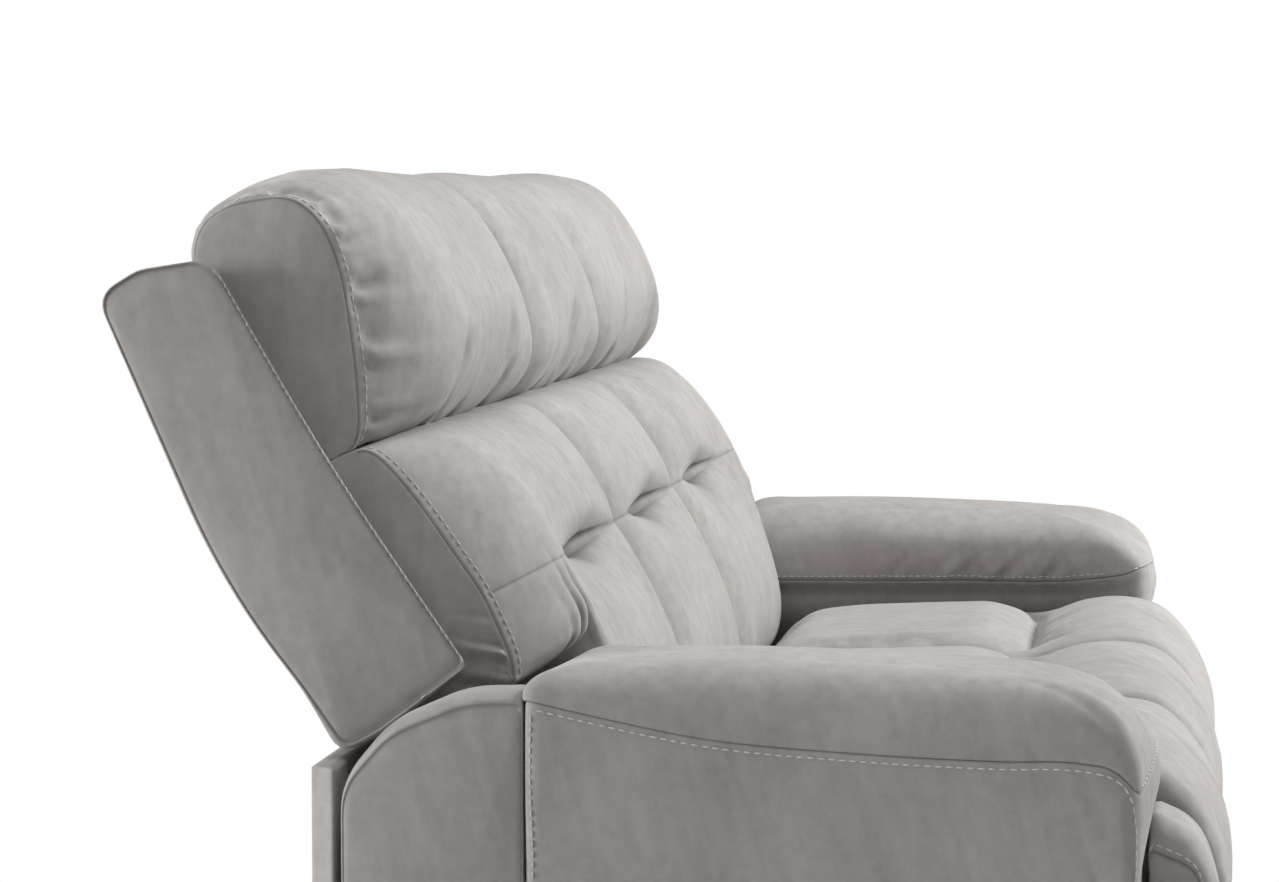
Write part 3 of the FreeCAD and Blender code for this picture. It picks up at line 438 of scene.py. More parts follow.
def pick_only(piece):
    bpy.ops.object.select_all(action="DESELECT")
    piece.select_set(True)
    bpy.context.view_layer.objects.active = piece


def swell(grid, held, slack, limit):
    """Cloth simulation of the skin under inner pressure; held points stay, and the shift has a limit."""
    last_step = 20
    scene = bpy.context.scene
    piece = skin_object("swelling", grid)
    group = piece.vertex_groups.new(name="held")
    group.add(np.nonzero(held.reshape(-1))[0].tolist(), 1.0, "REPLACE")
    pick_only(piece)
    cloth = piece.modifiers.new("Cloth", "CLOTH")
    settings = {
        "quality": 4, "mass": 0.35, "tension_stiffness": 25, "compression_stiffness": 25,
        "shear_stiffness": 12, "bending_stiffness": 1.5, "use_pressure": True, "uniform_pressure_force": 4.0,
        "vertex_group_mass": "held", "shrink_min": -slack,
    }
    for key, value in settings.items():
        setattr(cloth.settings, key, value)
    cloth.settings.effector_weights.gravity = 0
    cloth.collision_settings.use_collision = False
    cloth.point_cache.frame_start = 1
    cloth.point_cache.frame_end = last_step
    for step in range(1, last_step + 1):
        scene.frame_set(step)
    bpy.ops.object.modifier_apply(modifier="Cloth")
    scene.frame_set(1)
    points = np.zeros(grid.size)
    piece.data.vertices.foreach_get("co", points)
    bpy.data.objects.remove(piece)
    shift = points.reshape(grid.shape) - grid
    size = np.linalg.norm(shift, axis=2, keepdims=True)
    return grid + shift * np.minimum(1, limit / np.maximum(size, 1e-9))


class Padding:
    """A padded form: its outline changes from edge to crown across the width, and end panels close it."""

    def __init__(self, edge, crown, place, width, rise, cap=0.10, puff=(0.0, 0.0), other=None):
        self.edge = np.asarray(edge, float) / 1000
        self.crown = np.asarray(crown, float) / 1000
        self.place = place
        self.cap = cap
        self.puff = puff
        self.other = other
        depth = np.abs(self.crown - self.edge)[:, :2].max()
        self.across = width * (1 - np.cos(np.linspace(0, math.pi, 1201))) / 2
        self.share = rise(self.across)
        steps = np.hypot(np.diff(self.across), depth * np.diff(self.share))
        self.run = np.concatenate([[0], np.cumsum(steps)])
        self.length = self.run[-1]

    def at_ends(self, along):
        """True on the end panels and their seams."""
        return (along < 0.001) | (along > self.length - 0.001)

    def grid(self, along, around):
        """Points at distances along the skin from the first seam and places round the outline."""
        edge = outline_at(self.edge, around)
        crown = outline_at(self.crown, around)
        share = np.interp(along, self.run, self.share)
        flat = edge[None] + share[:, None, None] * (crown - edge)[None]
        if self.other:
            first = outline_at(np.asarray(self.other[0], float) / 1000, around)
            last = outline_at(np.asarray(self.other[1], float) / 1000, around)
            weight = self.other[2](np.interp(along, self.run, self.across))[:, None, None]
            flat = flat + weight * (first[None] + share[:, None, None] * (last - first)[None] - flat)
        beyond = np.clip(np.maximum(-along, along - self.length) / self.cap, 0, 1)
        middle = flat.mean(axis=1, keepdims=True)
        flat = middle + (1 - beyond)[:, None, None] * (flat - middle)
        dome = 1 - (1 - beyond) ** 2
        x = np.interp(along, self.run, self.across) + np.where(along < 0, -self.puff[0], self.puff[1]) * dome
        return self.place(x[:, None] + 0 * flat[..., 0], flat[..., 0], flat[..., 1])


def back_place(x, n, u):
    """Points from across, forward of the rear face and up along the slanted back."""
    y = BACK_FOOT[0] - n * math.cos(BACK_SLANT) + u * math.sin(BACK_SLANT)
    z = BACK_FOOT[1] + n * math.sin(BACK_SLANT) + u * math.cos(BACK_SLANT)
    return np.stack([x, y, z], axis=-1)


def seat_place(x, y, z):
    return np.stack([x, y + ARM_FRONT_Y, z], axis=-1)


def moved(place, start):
    """A way of placing points whose across direction counts from a start."""
    return lambda x, one, other: place(start + x, one, other)


def bell(distance, reach):
    return np.exp(-(distance / reach) ** 2)


def dome_rise(distance, reach):
    """Leaves a sewn edge at a slope and levels out."""
    return 1 - (1 - np.clip(distance / reach, 0, 1)) ** 2.2


def roll_rise(distance, reach):
    """Rolls out of a crease as a quarter round."""
    return np.sqrt(1 - (1 - np.clip(distance / reach, 0, 1)) ** 2)


# Stitching
def stitch_shape():
    """One stitch of thread lying along X: a thin spindle, modelled once."""
    bpy.ops.object.select_all(action="DESELECT")
    bpy.ops.mesh.primitive_uv_sphere_add(segments=6, ring_count=5, radius=0.5, rotation=(0, math.pi / 2, 0))
    piece = bpy.context.object
    bpy.ops.object.transform_apply(location=False, rotation=True, scale=False)
    points = np.array([v.co for v in piece.data.vertices])
    faces = [list(p.vertices) for p in piece.data.polygons]
    bpy.data.objects.remove(piece)
    points[:, 1:] *= (0.35 + 0.65 * (1 - np.abs(points[:, :1]) * 1.6).clip(0, 1))
    return points, faces


STITCH = stitch_shape()


def stitch_row(name, path, normals, length=0.0076, gap=0.0020, thick=0.0018, lift=0.0006, finish=None):
    """Stitches of thread along a path on the skin."""
    run = run_along(path)
    shape, faces = STITCH
    all_points = []
    all_faces = []

    def read(values, at):
        return np.array([np.interp(at, run, values[:, i]) for i in range(3)])

    for start in np.arange(int(run[-1] / (length + gap))) * (length + gap):
        first = read(path, start)
        last = read(path, start + length)
        size = np.linalg.norm(last - first)
        if size < length * 0.3:
            continue
        along = (last - first) / size
        side = np.cross(read(normals, start + length / 2), along)
        side /= np.linalg.norm(side)
        up = np.cross(along, side)
        turned = shape[:, :1] * along * size + shape[:, 1:2] * side * thick + shape[:, 2:] * up * thick
        all_faces += [[i + len(all_points) * len(shape) for i in face] for face in faces]
        all_points.append((first + last) / 2 + up * lift + turned)
    piece = mesh_object(name, np.concatenate(all_points), all_faces)
    piece.data.materials.append(finish or THREAD)
    return piece


def to_left(name):
    return name.replace("right", "left")


def mirror_copy(piece):
    """The same piece on the other end of the sofa."""
    twin = piece.copy()
    twin.data = piece.data.copy()
    twin.name = to_left(piece.name)
    bpy.context.scene.collection.objects.link(twin)
    twin.data.transform(Matrix.Diagonal((-1, 1, 1, 1)))
    twin.data.flip_normals()
    return twin


def dress(piece, body, finish, node):
    """Gives the piece its finish and its body, and hides the node that it stands for, if any."""
    piece.data.materials.clear()
    piece.data.materials.append(finish)
    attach(piece, body)
    if node:
        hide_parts(node)


def both_ends(piece, body, finish, node):
    """Dresses a right-hand piece and its mirrored twin on the left."""
    twin = mirror_copy(piece)
    dress(piece, body, finish, node)
    dress(twin, to_left(body), finish, node and to_left(node))


make_camera()
make_stage()
BACK_SUEDE = suede_finish("suede_back", (0, -0.25, 0))
SEAT_SUEDE = suede_finish("suede_seat", (math.pi / 2, 0, 0.2))
SIDE_SUEDE = suede_finish("suede_side", (0.3, 0, 0))
THREAD = thread_finish()
STEEL = steel_finish()
WOOD = wood_finish()
PLASTIC = plastic_finish()
STRAP = webbing_finish()


# Soft forms
SEAM_WIDTH = 0.0012
SEAM_DEPTH = 0.0013
STITCH_OFF = 0.0085
STITCH_GROOVE = 0.0004
END_X = -(SEAT_PITCH + BACK_OUT)
END_WIDTH = SEAT_HALF + BACK_OUT
PAST_BACK = 0.003
VALLEY_ROLL = 0.075
PAST_SEAM = 0.004


def outward(grid):
    normal = normals_of(grid)
    sign = 1 if np.einsum("ijk,ijk->", normal, grid - grid.mean(axis=(0, 1))) > 0 else -1
    return sign * normal


def between(around, first, last):
    return ((around > first) & (around < last)) * 1.0


def step_up(value, low, high):
    """Smooth step from 0 at low to 1 at high."""
    share = np.clip((value - low) / (high - low), 0, 1)
    return share * share * (3 - 2 * share)


def puckers(along, phase):
    """Uneven gathers along a seam, from -1 to 1."""
    waves = [(0.5, 9.0, phase), (0.35, 15.7, 2 * phase), (0.15, 23.0, 0.0)]
    return sum(size * np.sin(along * pitch + turn) for size, pitch, turn in waves)


def darkest(*shades):
    return np.max(np.broadcast_arrays(*shades), axis=0)


def sewn_seam(across, front):
    """Depth and darkness of the first seam, and the groove of the stitching beside it."""
    seam = bell(across, SEAM_WIDTH) * front
    return -SEAM_DEPTH * seam - STITCH_GROOVE * bell(across - STITCH_OFF, 0.0018) * front, seam


def grooved(grid, rows):
    """The grid with its first seam drawn in."""
    return grid - outward(grid) * (0.0014 * bell(rows, 0.0020))[:, None, None]


def rolled(width, first, last):
    """Rise of a crown that rolls out of a crease at each end of the width."""
    return lambda d: roll_rise(d, first) * roll_rise(width - d, last)


def domed(width, reach):
    """Rise of a crown from a sewn end to the valley beside the next cushion."""
    return lambda d: dome_rise(d, reach) * roll_rise(width - d, VALLEY_ROLL)


def plain_grid(form, row_step, column_step, close=()):
    """Points of a form as it is drawn, with the places of their rows and columns."""
    rows = row_places(form.length, form.cap, row_step, close)
    columns = even_places([form.edge, form.crown], column_step)
    return form.grid(rows, columns), rows, columns


def plain_skin(name, form, row_step, column_step):
    return skin_object(name, plain_grid(form, row_step, column_step)[0])


def soft_skin(name, form, held_at, detail, close=(), shape=None, step=0.012, fine_step=0.006, slack=0.03,
              limit=0.008, close_columns=()):
    """Swells the form on a coarse grid, then lays the fine grid over it and adds the sewn detail."""
    base, rows, columns = plain_grid(form, step, step)
    fine_rows = row_places(form.length, form.cap, fine_step, close)
    fine_columns = even_places([form.edge, form.crown], fine_step)
    fine_columns = np.unique(np.concatenate([fine_columns, close_columns]))
    grid = form.grid(fine_rows, fine_columns)
    coarse = (rows[:, None], columns[None, :])
    fine = (fine_rows[:, None], fine_columns[None, :])
    if shape:
        base = base + outward(base) * shape(*coarse, base)[..., None]
        grid = grid + outward(grid) * shape(*fine, grid)[..., None]
    full = swell(base, held_at(*coarse, base), slack, limit)
    grid = grid + finer(full - base, rows, columns, fine_rows, fine_columns, len(form.edge))
    grid = relaxed(grid)
    depth, seam = detail(*fine, grid)
    grid = grid + outward(grid) * depth[..., None]
    return skin_object(name, grid, seam), (grid, fine_rows, fine_columns)


def twin_stitches(row, body):
    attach(row, body)
    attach(mirror_copy(row), to_left(body))


def sew_beside(name, body, skin, off, first, last, **sizes):
    """Stitches beside the first seam, from one place round the outline to another, and their twins."""
    grid, rows, columns = skin
    row = int(np.argmin(np.abs(rows - off)))
    shown = (columns > first) & (columns < last)
    twin_stitches(stitch_row(name, grid[row][shown], outward(grid)[row][shown], **sizes), body)


def sew_along(name, body, piece, points, step=0.003):
    """Stitches along a smooth path through points, laid on the nearest skin of a piece, and their twins."""
    knots = np.asarray(points, float)
    run = run_along(knots)
    wanted = np.linspace(0, run[-1], max(2, int(run[-1] / step)))
    path = hermite(knots[:, None, :], run, wanted)[:, 0]
    corners = [v.co.copy() for v in piece.data.vertices]
    tree = BVHTree.FromPolygons(corners, [list(p.vertices) for p in piece.data.polygons])
    found = [tree.find_nearest(Vector(point)) for point in path]
    places = np.array([spot[0] for spot in found])
    ups = np.array([spot[1] for spot in found])
    twin_stitches(stitch_row(name, places, ups), body)


# Head rolls
HEAD_EDGE = [(54, 256), (100, 250), (139, 249), (162, 285), (187, 352), (203, 408), (205, 452), (190, 485),
             (156, 500), (126, 506), (101, 499), (80, 474), (58, 410), (54, 320)]
HEAD_CROWN = [(54, 256), (104, 249), (182, 243), (231, 264), (251, 318), (254, 395), (243, 458), (212, 498),
              (165, 515), (120, 521), (82, 515), (60, 485), (54, 410), (54, 320)]
HEAD_GATHER = 0.0055


def head_held(form):
    """The end panels and the rear that rests on the frame don't swell."""
    def held(across, around, grid):
        return (form.at_ends(across) | (around < 1.0) | (around > 11.0)) * 1.0
    return held


def head_detail(across, around, grid):
    """A stitched-down seam at the end panel; small gathers beside it that end before the rear."""
    front = between(around, 1.5, 11.5)
    depth, seam = sewn_seam(across, front)
    fade = np.exp(-np.clip(across - 0.016, 0, 1) / 0.032) * step_up(across, 0.008, 0.018)
    gathers = HEAD_GATHER * puckers(around, 0.7) * fade * front * (1 - step_up(around, 8.0, 9.2))
    # The seam's darkness joins the painted shade where the roll turns under.
    return depth + gathers, darkest(seam, head_crease(across, around, grid)[1])


def head_crease(across, around, grid):
    """No sewn detail; painted shade where the roll turns under."""
    dark = 0.42 * bell(around - 2.0, 0.85) + 0.40 * bell(around - 1.7, 0.45)
    return 0 * across, dark * (across > PAST_SEAM)


def make_heads():
    fit = {"slack": 0.015, "limit": 0.011}
    end = Padding(HEAD_EDGE, HEAD_CROWN, moved(back_place, END_X), END_WIDTH, domed(END_WIDTH, 0.14),
                  puff=(0.010, 0))
    piece, skin = soft_skin("right_headrest_skin", end, head_held(end), head_detail, [0.0], **fit)
    both_ends(piece, "right_back", BACK_SUEDE, "right_headrest")
    sew_beside("right_headrest_stitches", "right_back", skin, STITCH_OFF, 2.0, 10.4)
    mid = Padding(HEAD_EDGE, HEAD_CROWN, moved(back_place, -SEAT_HALF), 2 * SEAT_HALF,
                  rolled(2 * SEAT_HALF, VALLEY_ROLL, VALLEY_ROLL))
    piece, skin = soft_skin("mid_headrest_skin", mid, head_held(mid), head_crease, **fit)
    dress(piece, "base", BACK_SUEDE, "mid_headrest")


# Lumbar cushions
LUMBAR_REAR = [(100, -130), (80, -60), (58, 10), (54, 120)]
LUMBAR_EDGE = [(54, 246), (100, 247), (142, 245), (159, 228), (176, 176), (192, 120), (197, 74), (198, 29),
               (197, -30), (195, -90), (186, -150), (172, -188), (150, -196), (128, -186)] + LUMBAR_REAR
LUMBAR_CROWN = [(54, 246), (104, 248), (164, 247), (210, 225), (231, 178), (241, 121), (241, 74), (243, 20),
                (244, -40), (238, -100), (221, -155), (192, -190), (158, -197), (130, -187)] + LUMBAR_REAR
OVER_ARM_REAR = [(100, -14), (80, -8), (58, 0), (54, 120)]
OVER_ARM_EDGE = [(54, 246), (100, 247), (140, 245), (157, 228), (171, 176), (180, 120), (187, 74), (187, 42),
                 (186, 18), (184, 2), (180, -10), (176, -18), (150, -20), (128, -18)] + OVER_ARM_REAR
OVER_ARM_CROWN = [(54, 246), (104, 248), (164, 247), (211, 225), (236, 178), (249, 121), (252, 74), (252, 42),
                  (252, 18), (247, 2), (236, -10), (206, -18), (156, -20), (130, -18)] + OVER_ARM_REAR
SEWN_COLUMNS = np.linspace(6.0, 6.32, 14)
FOLD_ROWS = [0.0, 0.105, 0.125, 0.145, 0.165]
LUMBAR_FRONT = (2.0, 11.5)
OVER_ARM_X = BACK_OUT - SEAT_HALF
TUFT_U = 0.068
TUFT_REACH = 0.23
TUFT_DEPTH = 0.042
FOLD_PITCH = 0.026
FOLD_DEPTH = 0.013


def up_the_back(grid):
    """Height of grid points along the slanted back."""
    behind = grid[..., 1] - BACK_FOOT[0]
    return behind * math.sin(BACK_SLANT) + (grid[..., 2] - BACK_FOOT[1]) * math.cos(BACK_SLANT)


def from_rear(grid):
    """Distance of grid points forward of the back's rear face."""
    ahead = BACK_FOOT[0] - grid[..., 1]
    return ahead * math.cos(BACK_SLANT) + (grid[..., 2] - BACK_FOOT[1]) * math.sin(BACK_SLANT)


def over_arm(x):
    """1 on the part of an end cushion that lies over the arm, 0 where it goes down to the seat."""
    return 1 - step_up(x, OVER_ARM_X - 0.004, OVER_ARM_X + 0.036)


def make_lumbar(name, start, width, sewn, middle):
    """Lumbar cushion: an upper and a lower roll, parted by a sewn line that is pulled in at a tuft."""
    def pull_share(grid):
        """1 at the tuft, falling to nothing along the sewn line."""
        return np.clip(1 - np.abs(grid[..., 0] - middle) / TUFT_REACH, 0, 1) ** 1.3

    def tuft(across, around, grid):
        """The tuft's pull, steeper above than below, and the lips that swell beside it."""
        above = up_the_back(grid) - TUFT_U
        wall = np.where(above > 0, np.exp(-above / 0.011), np.exp(above / 0.024))
        lip = 0.014 * bell(above - 0.026, 0.020) + 0.004 * bell(above + 0.050, 0.030)
        pull = pull_share(grid) * (TUFT_DEPTH * wall - lip)
        inside = (across > PAST_SEAM) * (across < form.length - PAST_SEAM)
        return -pull * between(around, *LUMBAR_FRONT) * inside

    def held(across, around, grid):
        rear = (around < 1.0) | (around > 12.5)
        off = np.abs(up_the_back(grid) - TUFT_U)
        sewn_down = (off < 0.008) & (pull_share(grid) > 0.1) & (between(around, *LUMBAR_FRONT) > 0)
        return (rear | sewn_down | form.at_ends(across)) * 1.0

    def detail(across, around, grid):
        """End seam, sewn line, folds over the arm, gathers on the end panel; painted shade in the folds, the
        tuft's pit and the top under the head roll.
        """
        front = between(around, *LUMBAR_FRONT)
        skin = front * (across > PAST_SEAM) * (across < form.length)
        depth, seam = sewn_seam(across, front * sewn)
        up = up_the_back(grid)
        off = np.abs(up - TUFT_U)
        pulled = pull_share(grid)
        crease = (0.0012 + 0.016 * pulled) * np.exp(-off / 0.0045) * skin
        x = grid[..., 0] - start
        folds = bell(x - OVER_ARM_X + 0.022, 0.030) * bell(up, 0.052) * sewn * skin
        folds = folds * (1 - np.abs(np.sin((x + 0.25 * up) * math.pi / FOLD_PITCH))) ** 1.4
        panel = (across < -PAST_SEAM) * bell(up - 0.004, 0.034) * sewn
        gathers = 0.004 * panel * puckers((up + 0.7 * from_rear(grid)) * 26, 0.9)
        line = 0.75 * bell(off, 0.0014) * skin
        # Painted shade in the tuft's pit, reaching further below the sewn line than above it.
        hollow = np.where(up > TUFT_U, np.exp(-off / 0.012), np.exp(-off / 0.026))
        pit = 1.3 * pulled ** 2.2 * hollow * skin
        # Painted shade along the top, where the head roll hangs over; the folds also get painted shade.
        top = 0.30 * bell(around - 1.9, 0.55) * (across > PAST_SEAM)
        return depth - crease - FOLD_DEPTH * folds + gathers, darkest(seam, line, pit, top, 0.7 * folds)

    rise = domed(width, 0.13) if sewn else rolled(width, VALLEY_ROLL, VALLEY_ROLL)
    over = (OVER_ARM_EDGE, OVER_ARM_CROWN, over_arm) if sewn else None
    form = Padding(LUMBAR_EDGE, LUMBAR_CROWN, moved(back_place, start), width, rise, cap=0.08,
                   puff=(0.008, 0), other=over)
    piece, skin = soft_skin(name + "_skin", form, held, detail, FOLD_ROWS if sewn else (), tuft, slack=0.0,
                            limit=0.009, close_columns=SEWN_COLUMNS)
    if sewn:
        both_ends(piece, "right_back", BACK_SUEDE, name)
        sew_beside(name + "_stitches", "right_back", skin, STITCH_OFF, 2.2, 11.6)
    else:
        dress(piece, "base", BACK_SUEDE, name)


# Wings and outside backs
WING_SEAM = [(13, -1, 14), (49, 1, 44), (151, 18, 9), (118, 240, 2400), (104, 451, 13), (91, 469, 23),
             (36, 486, 44), (-9, 482, 24), (-22, 182, 700), (3, 62, 380)]
WING_FULL = [(2, -6, 22), (48, -8, 50), (152, 17, 10), (119, 240, 2400), (105, 452, 14), (92, 470, 24),
             (36, 488, 46), (-12, 484, 26), (-27, 180, 700), (0, 62, 380)]
WING_INNER = [(7, 2, 16), (48, 6, 40), (138, 24, 9), (105, 240, 2400), (91, 446, 13), (82, 462, 22),
              (36, 479, 44), (-6, 475, 24), (-20, 182, 700), (3, 62, 380)]
WING_FOOT_STITCHES = [(98, 9), (106, 11), (113, 13)]
WING_OUT_X = 0.930
WING_T = 0.033
RIDGE = {"length": 0.0065, "gap": 0.0018, "thick": 0.0030, "lift": 0.0004}


def make_wing():
    """Side panel of an end back: a full outer face sewn to a strip that slopes away behind it."""
    def inward(x):
        return np.clip((x - 0.004) / (WING_T - 0.004), 0, 1)

    form = Padding(WING_SEAM, WING_FULL, moved(back_place, -WING_OUT_X), WING_T,
                   lambda d: roll_rise(d, 0.010), cap=0.07, puff=(0.006, 0),
                   other=(WING_INNER, WING_INNER, inward))
    grid, rows, columns = plain_grid(form, 0.006, 0.006, [0.0])
    grid = grooved(grid, rows)
    piece = skin_object("right_wing_skin", grid, 0.9 * bell(rows[:, None], SEAM_WIDTH))
    both_ends(piece, "right_back", SIDE_SUEDE, None)
    skin = (grid, rows, columns)
    sew_beside("right_wing_ridge", "right_back", skin, 0.0034, 2.1, 4.9, finish=SIDE_SUEDE, **RIDGE)
    foot = [back_place(-WING_OUT_X, n / 1000, u / 1000) for n, u in WING_FOOT_STITCHES]
    sew_along("right_wing_stitches", "right_back", piece, foot)


BACK_PAD_EDGE = [(18, 0, 8), (148, 18, 8), (140, 70, 8), (18, 70, 8)]
BACK_PAD_CROWN = [(16, -2, 10), (152, 16, 10), (144, 74, 10), (16, 74, 10)]
BACK_PAD_X = -0.892


def make_back_pad():
    """Padding that closes the foot of the back between the wing and the frame."""
    width = 0.126
    form = Padding(BACK_PAD_EDGE, BACK_PAD_CROWN, moved(back_place, BACK_PAD_X), width,
                   rolled(width, 0.01, 0.01), cap=0.03)
    piece = plain_skin("right_back_foot_pad", form, 0.012, 0.010)
    both_ends(piece, "right_back", SIDE_SUEDE, None)


BACK_COVER_T = 0.057


def box_outline(low_a, low_b, high_a, high_b, radius):
    corners = [(low_a, low_b), (high_a, low_b), (high_a, high_b), (low_a, high_b)]
    return [(a, b, radius) for a, b in corners]


def make_outside_backs():
    """The covers round the back frames; their rear faces are bowed a little to the rear."""
    def bowed(n, x, u):
        bow = 0.020 * step_up(u, 0.070, 0.190) * (1 - step_up(u, 0.34, 0.48))
        return back_place(x, n + 0.002 - bow * (1 - n / BACK_COVER_T), u)

    def build(name, low, high):
        edge = box_outline(low, 4, high, 476, 10)
        full = box_outline(low - 2, 0, high + 2, 480, 12)
        rise = rolled(BACK_COVER_T, 0.007, 0.004)
        form = Padding(edge, full, bowed, BACK_COVER_T, rise, cap=0.16, puff=(0.003, 0))
        return plain_skin(name, form, 0.008, 0.010)

    end = build("right_outside_back", -896, -260)
    both_ends(end, "right_back", SIDE_SUEDE, "right_back_shell")
    dress(build("mid_outside_back", -251, 251), "base", SIDE_SUEDE, "mid_back_shell")


# Arms
def arm_curve(points):
    """Heights along the arm from (y, z) pairs, as a smooth function of y."""
    knots = np.array(sorted(points))

    def read(y):
        flat = np.clip(np.ravel(y), knots[0, 0], knots[-1, 0])
        return hermite(knots[:, 1][:, None, None], knots[:, 0], flat)[:, 0, 0].reshape(np.shape(y))
    return read


ARM_CREST = arm_curve([(0.10, 0.607), (0.16, 0.615), (0.269, 0.621), (0.408, 0.623), (0.47, 0.621),
                       (0.56, 0.616)])
ARM_SEAM_OUT = arm_curve([(0.004, 0.512), (0.009, 0.521), (0.016, 0.529), (0.029, 0.538), (0.050, 0.542),
                          (0.127, 0.543), (0.261, 0.548), (0.397, 0.559), (0.488, 0.576), (0.562, 0.592)])
ARM_SEAM_IN = arm_curve([(0.004, 0.543), (0.024, 0.536), (0.060, 0.530), (0.262, 0.524), (0.562, 0.520)])
ARM_PLAN = [(0.762, 0.003, 0.040), (1.0185, 0.003, 0.014), (1.0185, 0.562, 0.014), (0.762, 0.562, 0.014)]
ARM_CORNER = [(0.042, 0.5345), (0.026, 0.530), (0.014, 0.520), (0.008, 0.508), (0.005, 0.490), (0.0045, 0.40),
              (0.0045, 0.25), (0.0045, 0.08)]
ARM_GATHER = 0.0085
SPINE_X = 0.893
SPINE_Y = (0.150, 0.475)
CREST_SHARE = 0.35


class Arm:
    """Plan outline of the arm, its seam height and the weights of its four sides."""

    def __init__(self, step=0.007):
        plan = np.array(ARM_PLAN)
        ring = rounded(plan, even_places([plan], step))
        self.x = ring[:, 0]
        self.y = ring[:, 1]
        along = np.roll(ring, -1, axis=0)[:, :2] - np.roll(ring, 1, axis=0)[:, :2]
        along /= np.linalg.norm(along, axis=1, keepdims=True)
        self.out_x = along[:, 1]
        self.out_y = -along[:, 0]
        self.front = np.maximum(-self.out_y, 0) ** 2
        self.rear = np.maximum(self.out_y, 0) ** 2
        self.outer = np.maximum(self.out_x, 0) ** 2
        self.inner = np.maximum(-self.out_x, 0) ** 2
        share = (self.x - ARM_PLAN[0][0]) / (ARM_PLAN[1][0] - ARM_PLAN[0][0])
        self.middle = np.sin(math.pi * np.clip(share, 0, 1))
        arch = 0.013 * self.middle * np.clip(1 - (self.y - ARM_PLAN[0][1]) / 0.03, 0, 1)
        self.seam = ARM_SEAM_IN(self.y) + share * (ARM_SEAM_OUT(self.y) - ARM_SEAM_IN(self.y)) + arch
        self.puff = 0.015 * self.front * self.middle


def make_arm_pillow(arm):
    """Pillow on the arm: domed from its seam to a nearly level crest, steeper at the sides than in front."""
    turn = np.concatenate([[0, 0.006, 0.014, 0.025], np.linspace(0.040, math.pi / 2, 42)])[:, None]
    nose = 1.7 + 1.1 * step_up(arm.x, 0.86, 0.97)
    power = nose * arm.front + 2.2 * (arm.outer + arm.inner) + 3.0 * arm.rear
    inward = 1 - np.cos(turn) ** (2 / power)
    upward = np.sin(turn) ** (2 / power)
    span = (arm.y - arm.y.min()) / (arm.y.max() - arm.y.min())
    crest_x = SPINE_X + CREST_SHARE * (arm.x - SPINE_X)
    crest_y = SPINE_Y[0] + span * (SPINE_Y[1] - SPINE_Y[0])
    roll = (0.008 + 0.014 * (1 - step_up(arm.y, 0.34, 0.44))) * arm.inner
    bulge = roll * np.sin(np.minimum(2.6 * turn, math.pi)) + arm.puff * (1 - inward)
    tuck = (0.0012 + 0.002 * arm.inner) * np.exp(-turn / 0.014)
    away = bulge - tuck
    x = arm.x + (crest_x - arm.x) * inward + arm.out_x * away
    y = arm.y + (crest_y - arm.y) * inward + arm.out_y * away
    z = arm.seam + (ARM_CREST(crest_y) - arm.seam) * upward
    dome = seat_place(-x, y, z)
    fade = np.exp(-turn / 0.30) * np.sin(np.minimum(turn * 10, math.pi / 2)) * bell(arm.y - 0.17, 0.16)
    gathers = ARM_GATHER * puckers(arm.y * 13 + turn * 1.3, 1.3) * arm.inner * fade
    dome = dome + outward(dome) * gathers[..., None]
    part = np.linspace(0, 0.96, 9)[1:, None]
    spine_y = crest_y + 0.3 * (sum(SPINE_Y) / 2 - crest_y) * part
    crest = seat_place(-(crest_x + (SPINE_X - crest_x) * part), spine_y,
                       ARM_CREST(spine_y) + 0.002 * (1 - (1 - part) ** 2))
    floor = seat_place(-(arm.x + (SPINE_X - arm.x) * 0.3), arm.y + (crest_y - arm.y) * 0.3, arm.seam - 0.004)
    grid = np.concatenate([floor[None], dome, crest])
    seam = np.concatenate([0 * turn[:1], 0.8 * bell(turn, 0.009), 0 * part])
    front_middle = int(np.argmin(np.abs(arm.x - SPINE_X) + arm.y))
    piece = skin_object("right_arm_pillow", grid, seam, front_middle)
    both_ends(piece, "base", SIDE_SUEDE, "right_arm_top")
    return piece


def make_arm_casing(arm):
    """Arm sides below the pillow: fuller near the seam, set back inside, a front that bulges at its top."""
    fall = np.concatenate([[0, 0.002, 0.0045, 0.008, 0.013], np.linspace(0.020, 1.0, 66)])[:, None]
    drop = fall * (arm.seam - ARM_FLOOR)
    tuck = 0.0012 * np.exp(-drop / 0.003)
    front_in = -arm.puff * (1 - 0.8 * step_up(drop, 0.036, 0.110))
    front_in = front_in - 0.004 * bell(drop - 0.024, 0.018) * arm.front * arm.middle
    outer_in = -0.002 * bell(drop - 0.060, 0.050) + 0.006 * step_up(drop, 0.080, 0.200)
    inner_in = 0.016 * step_up(drop, 0.0, 0.016)
    rear_in = 0.003
    inset = tuck + front_in + outer_in * arm.outer + inner_in * arm.inner + rear_in * arm.rear
    grid = seat_place(-(arm.x - arm.out_x * inset), arm.y - arm.out_y * inset, arm.seam - drop)
    outer_corner = bell(arm.y - 0.0040, 0.0014) * (arm.x > SPINE_X)
    inner_corner = bell(arm.y - 0.047, 0.0030) * (arm.x < SPINE_X)
    corner = (outer_corner + inner_corner) * (drop > 0.004)
    # Painted shade on the inner side of the casing, in the gap beside the seat.
    shade_beside_seat = 1.55 * arm.inner * step_up(drop, 0.010, 0.070)
    seam = darkest(0.8 * bell(drop, 0.0012), 0.6 * corner, shade_beside_seat)
    grid = grid - outward(grid) * (0.0015 * corner)[..., None]
    piece = skin_object("right_arm_casing", grid, seam)
    cut_cup_opening(piece)
    both_ends(piece, "base", SIDE_SUEDE, "right_arm_side")
    return piece


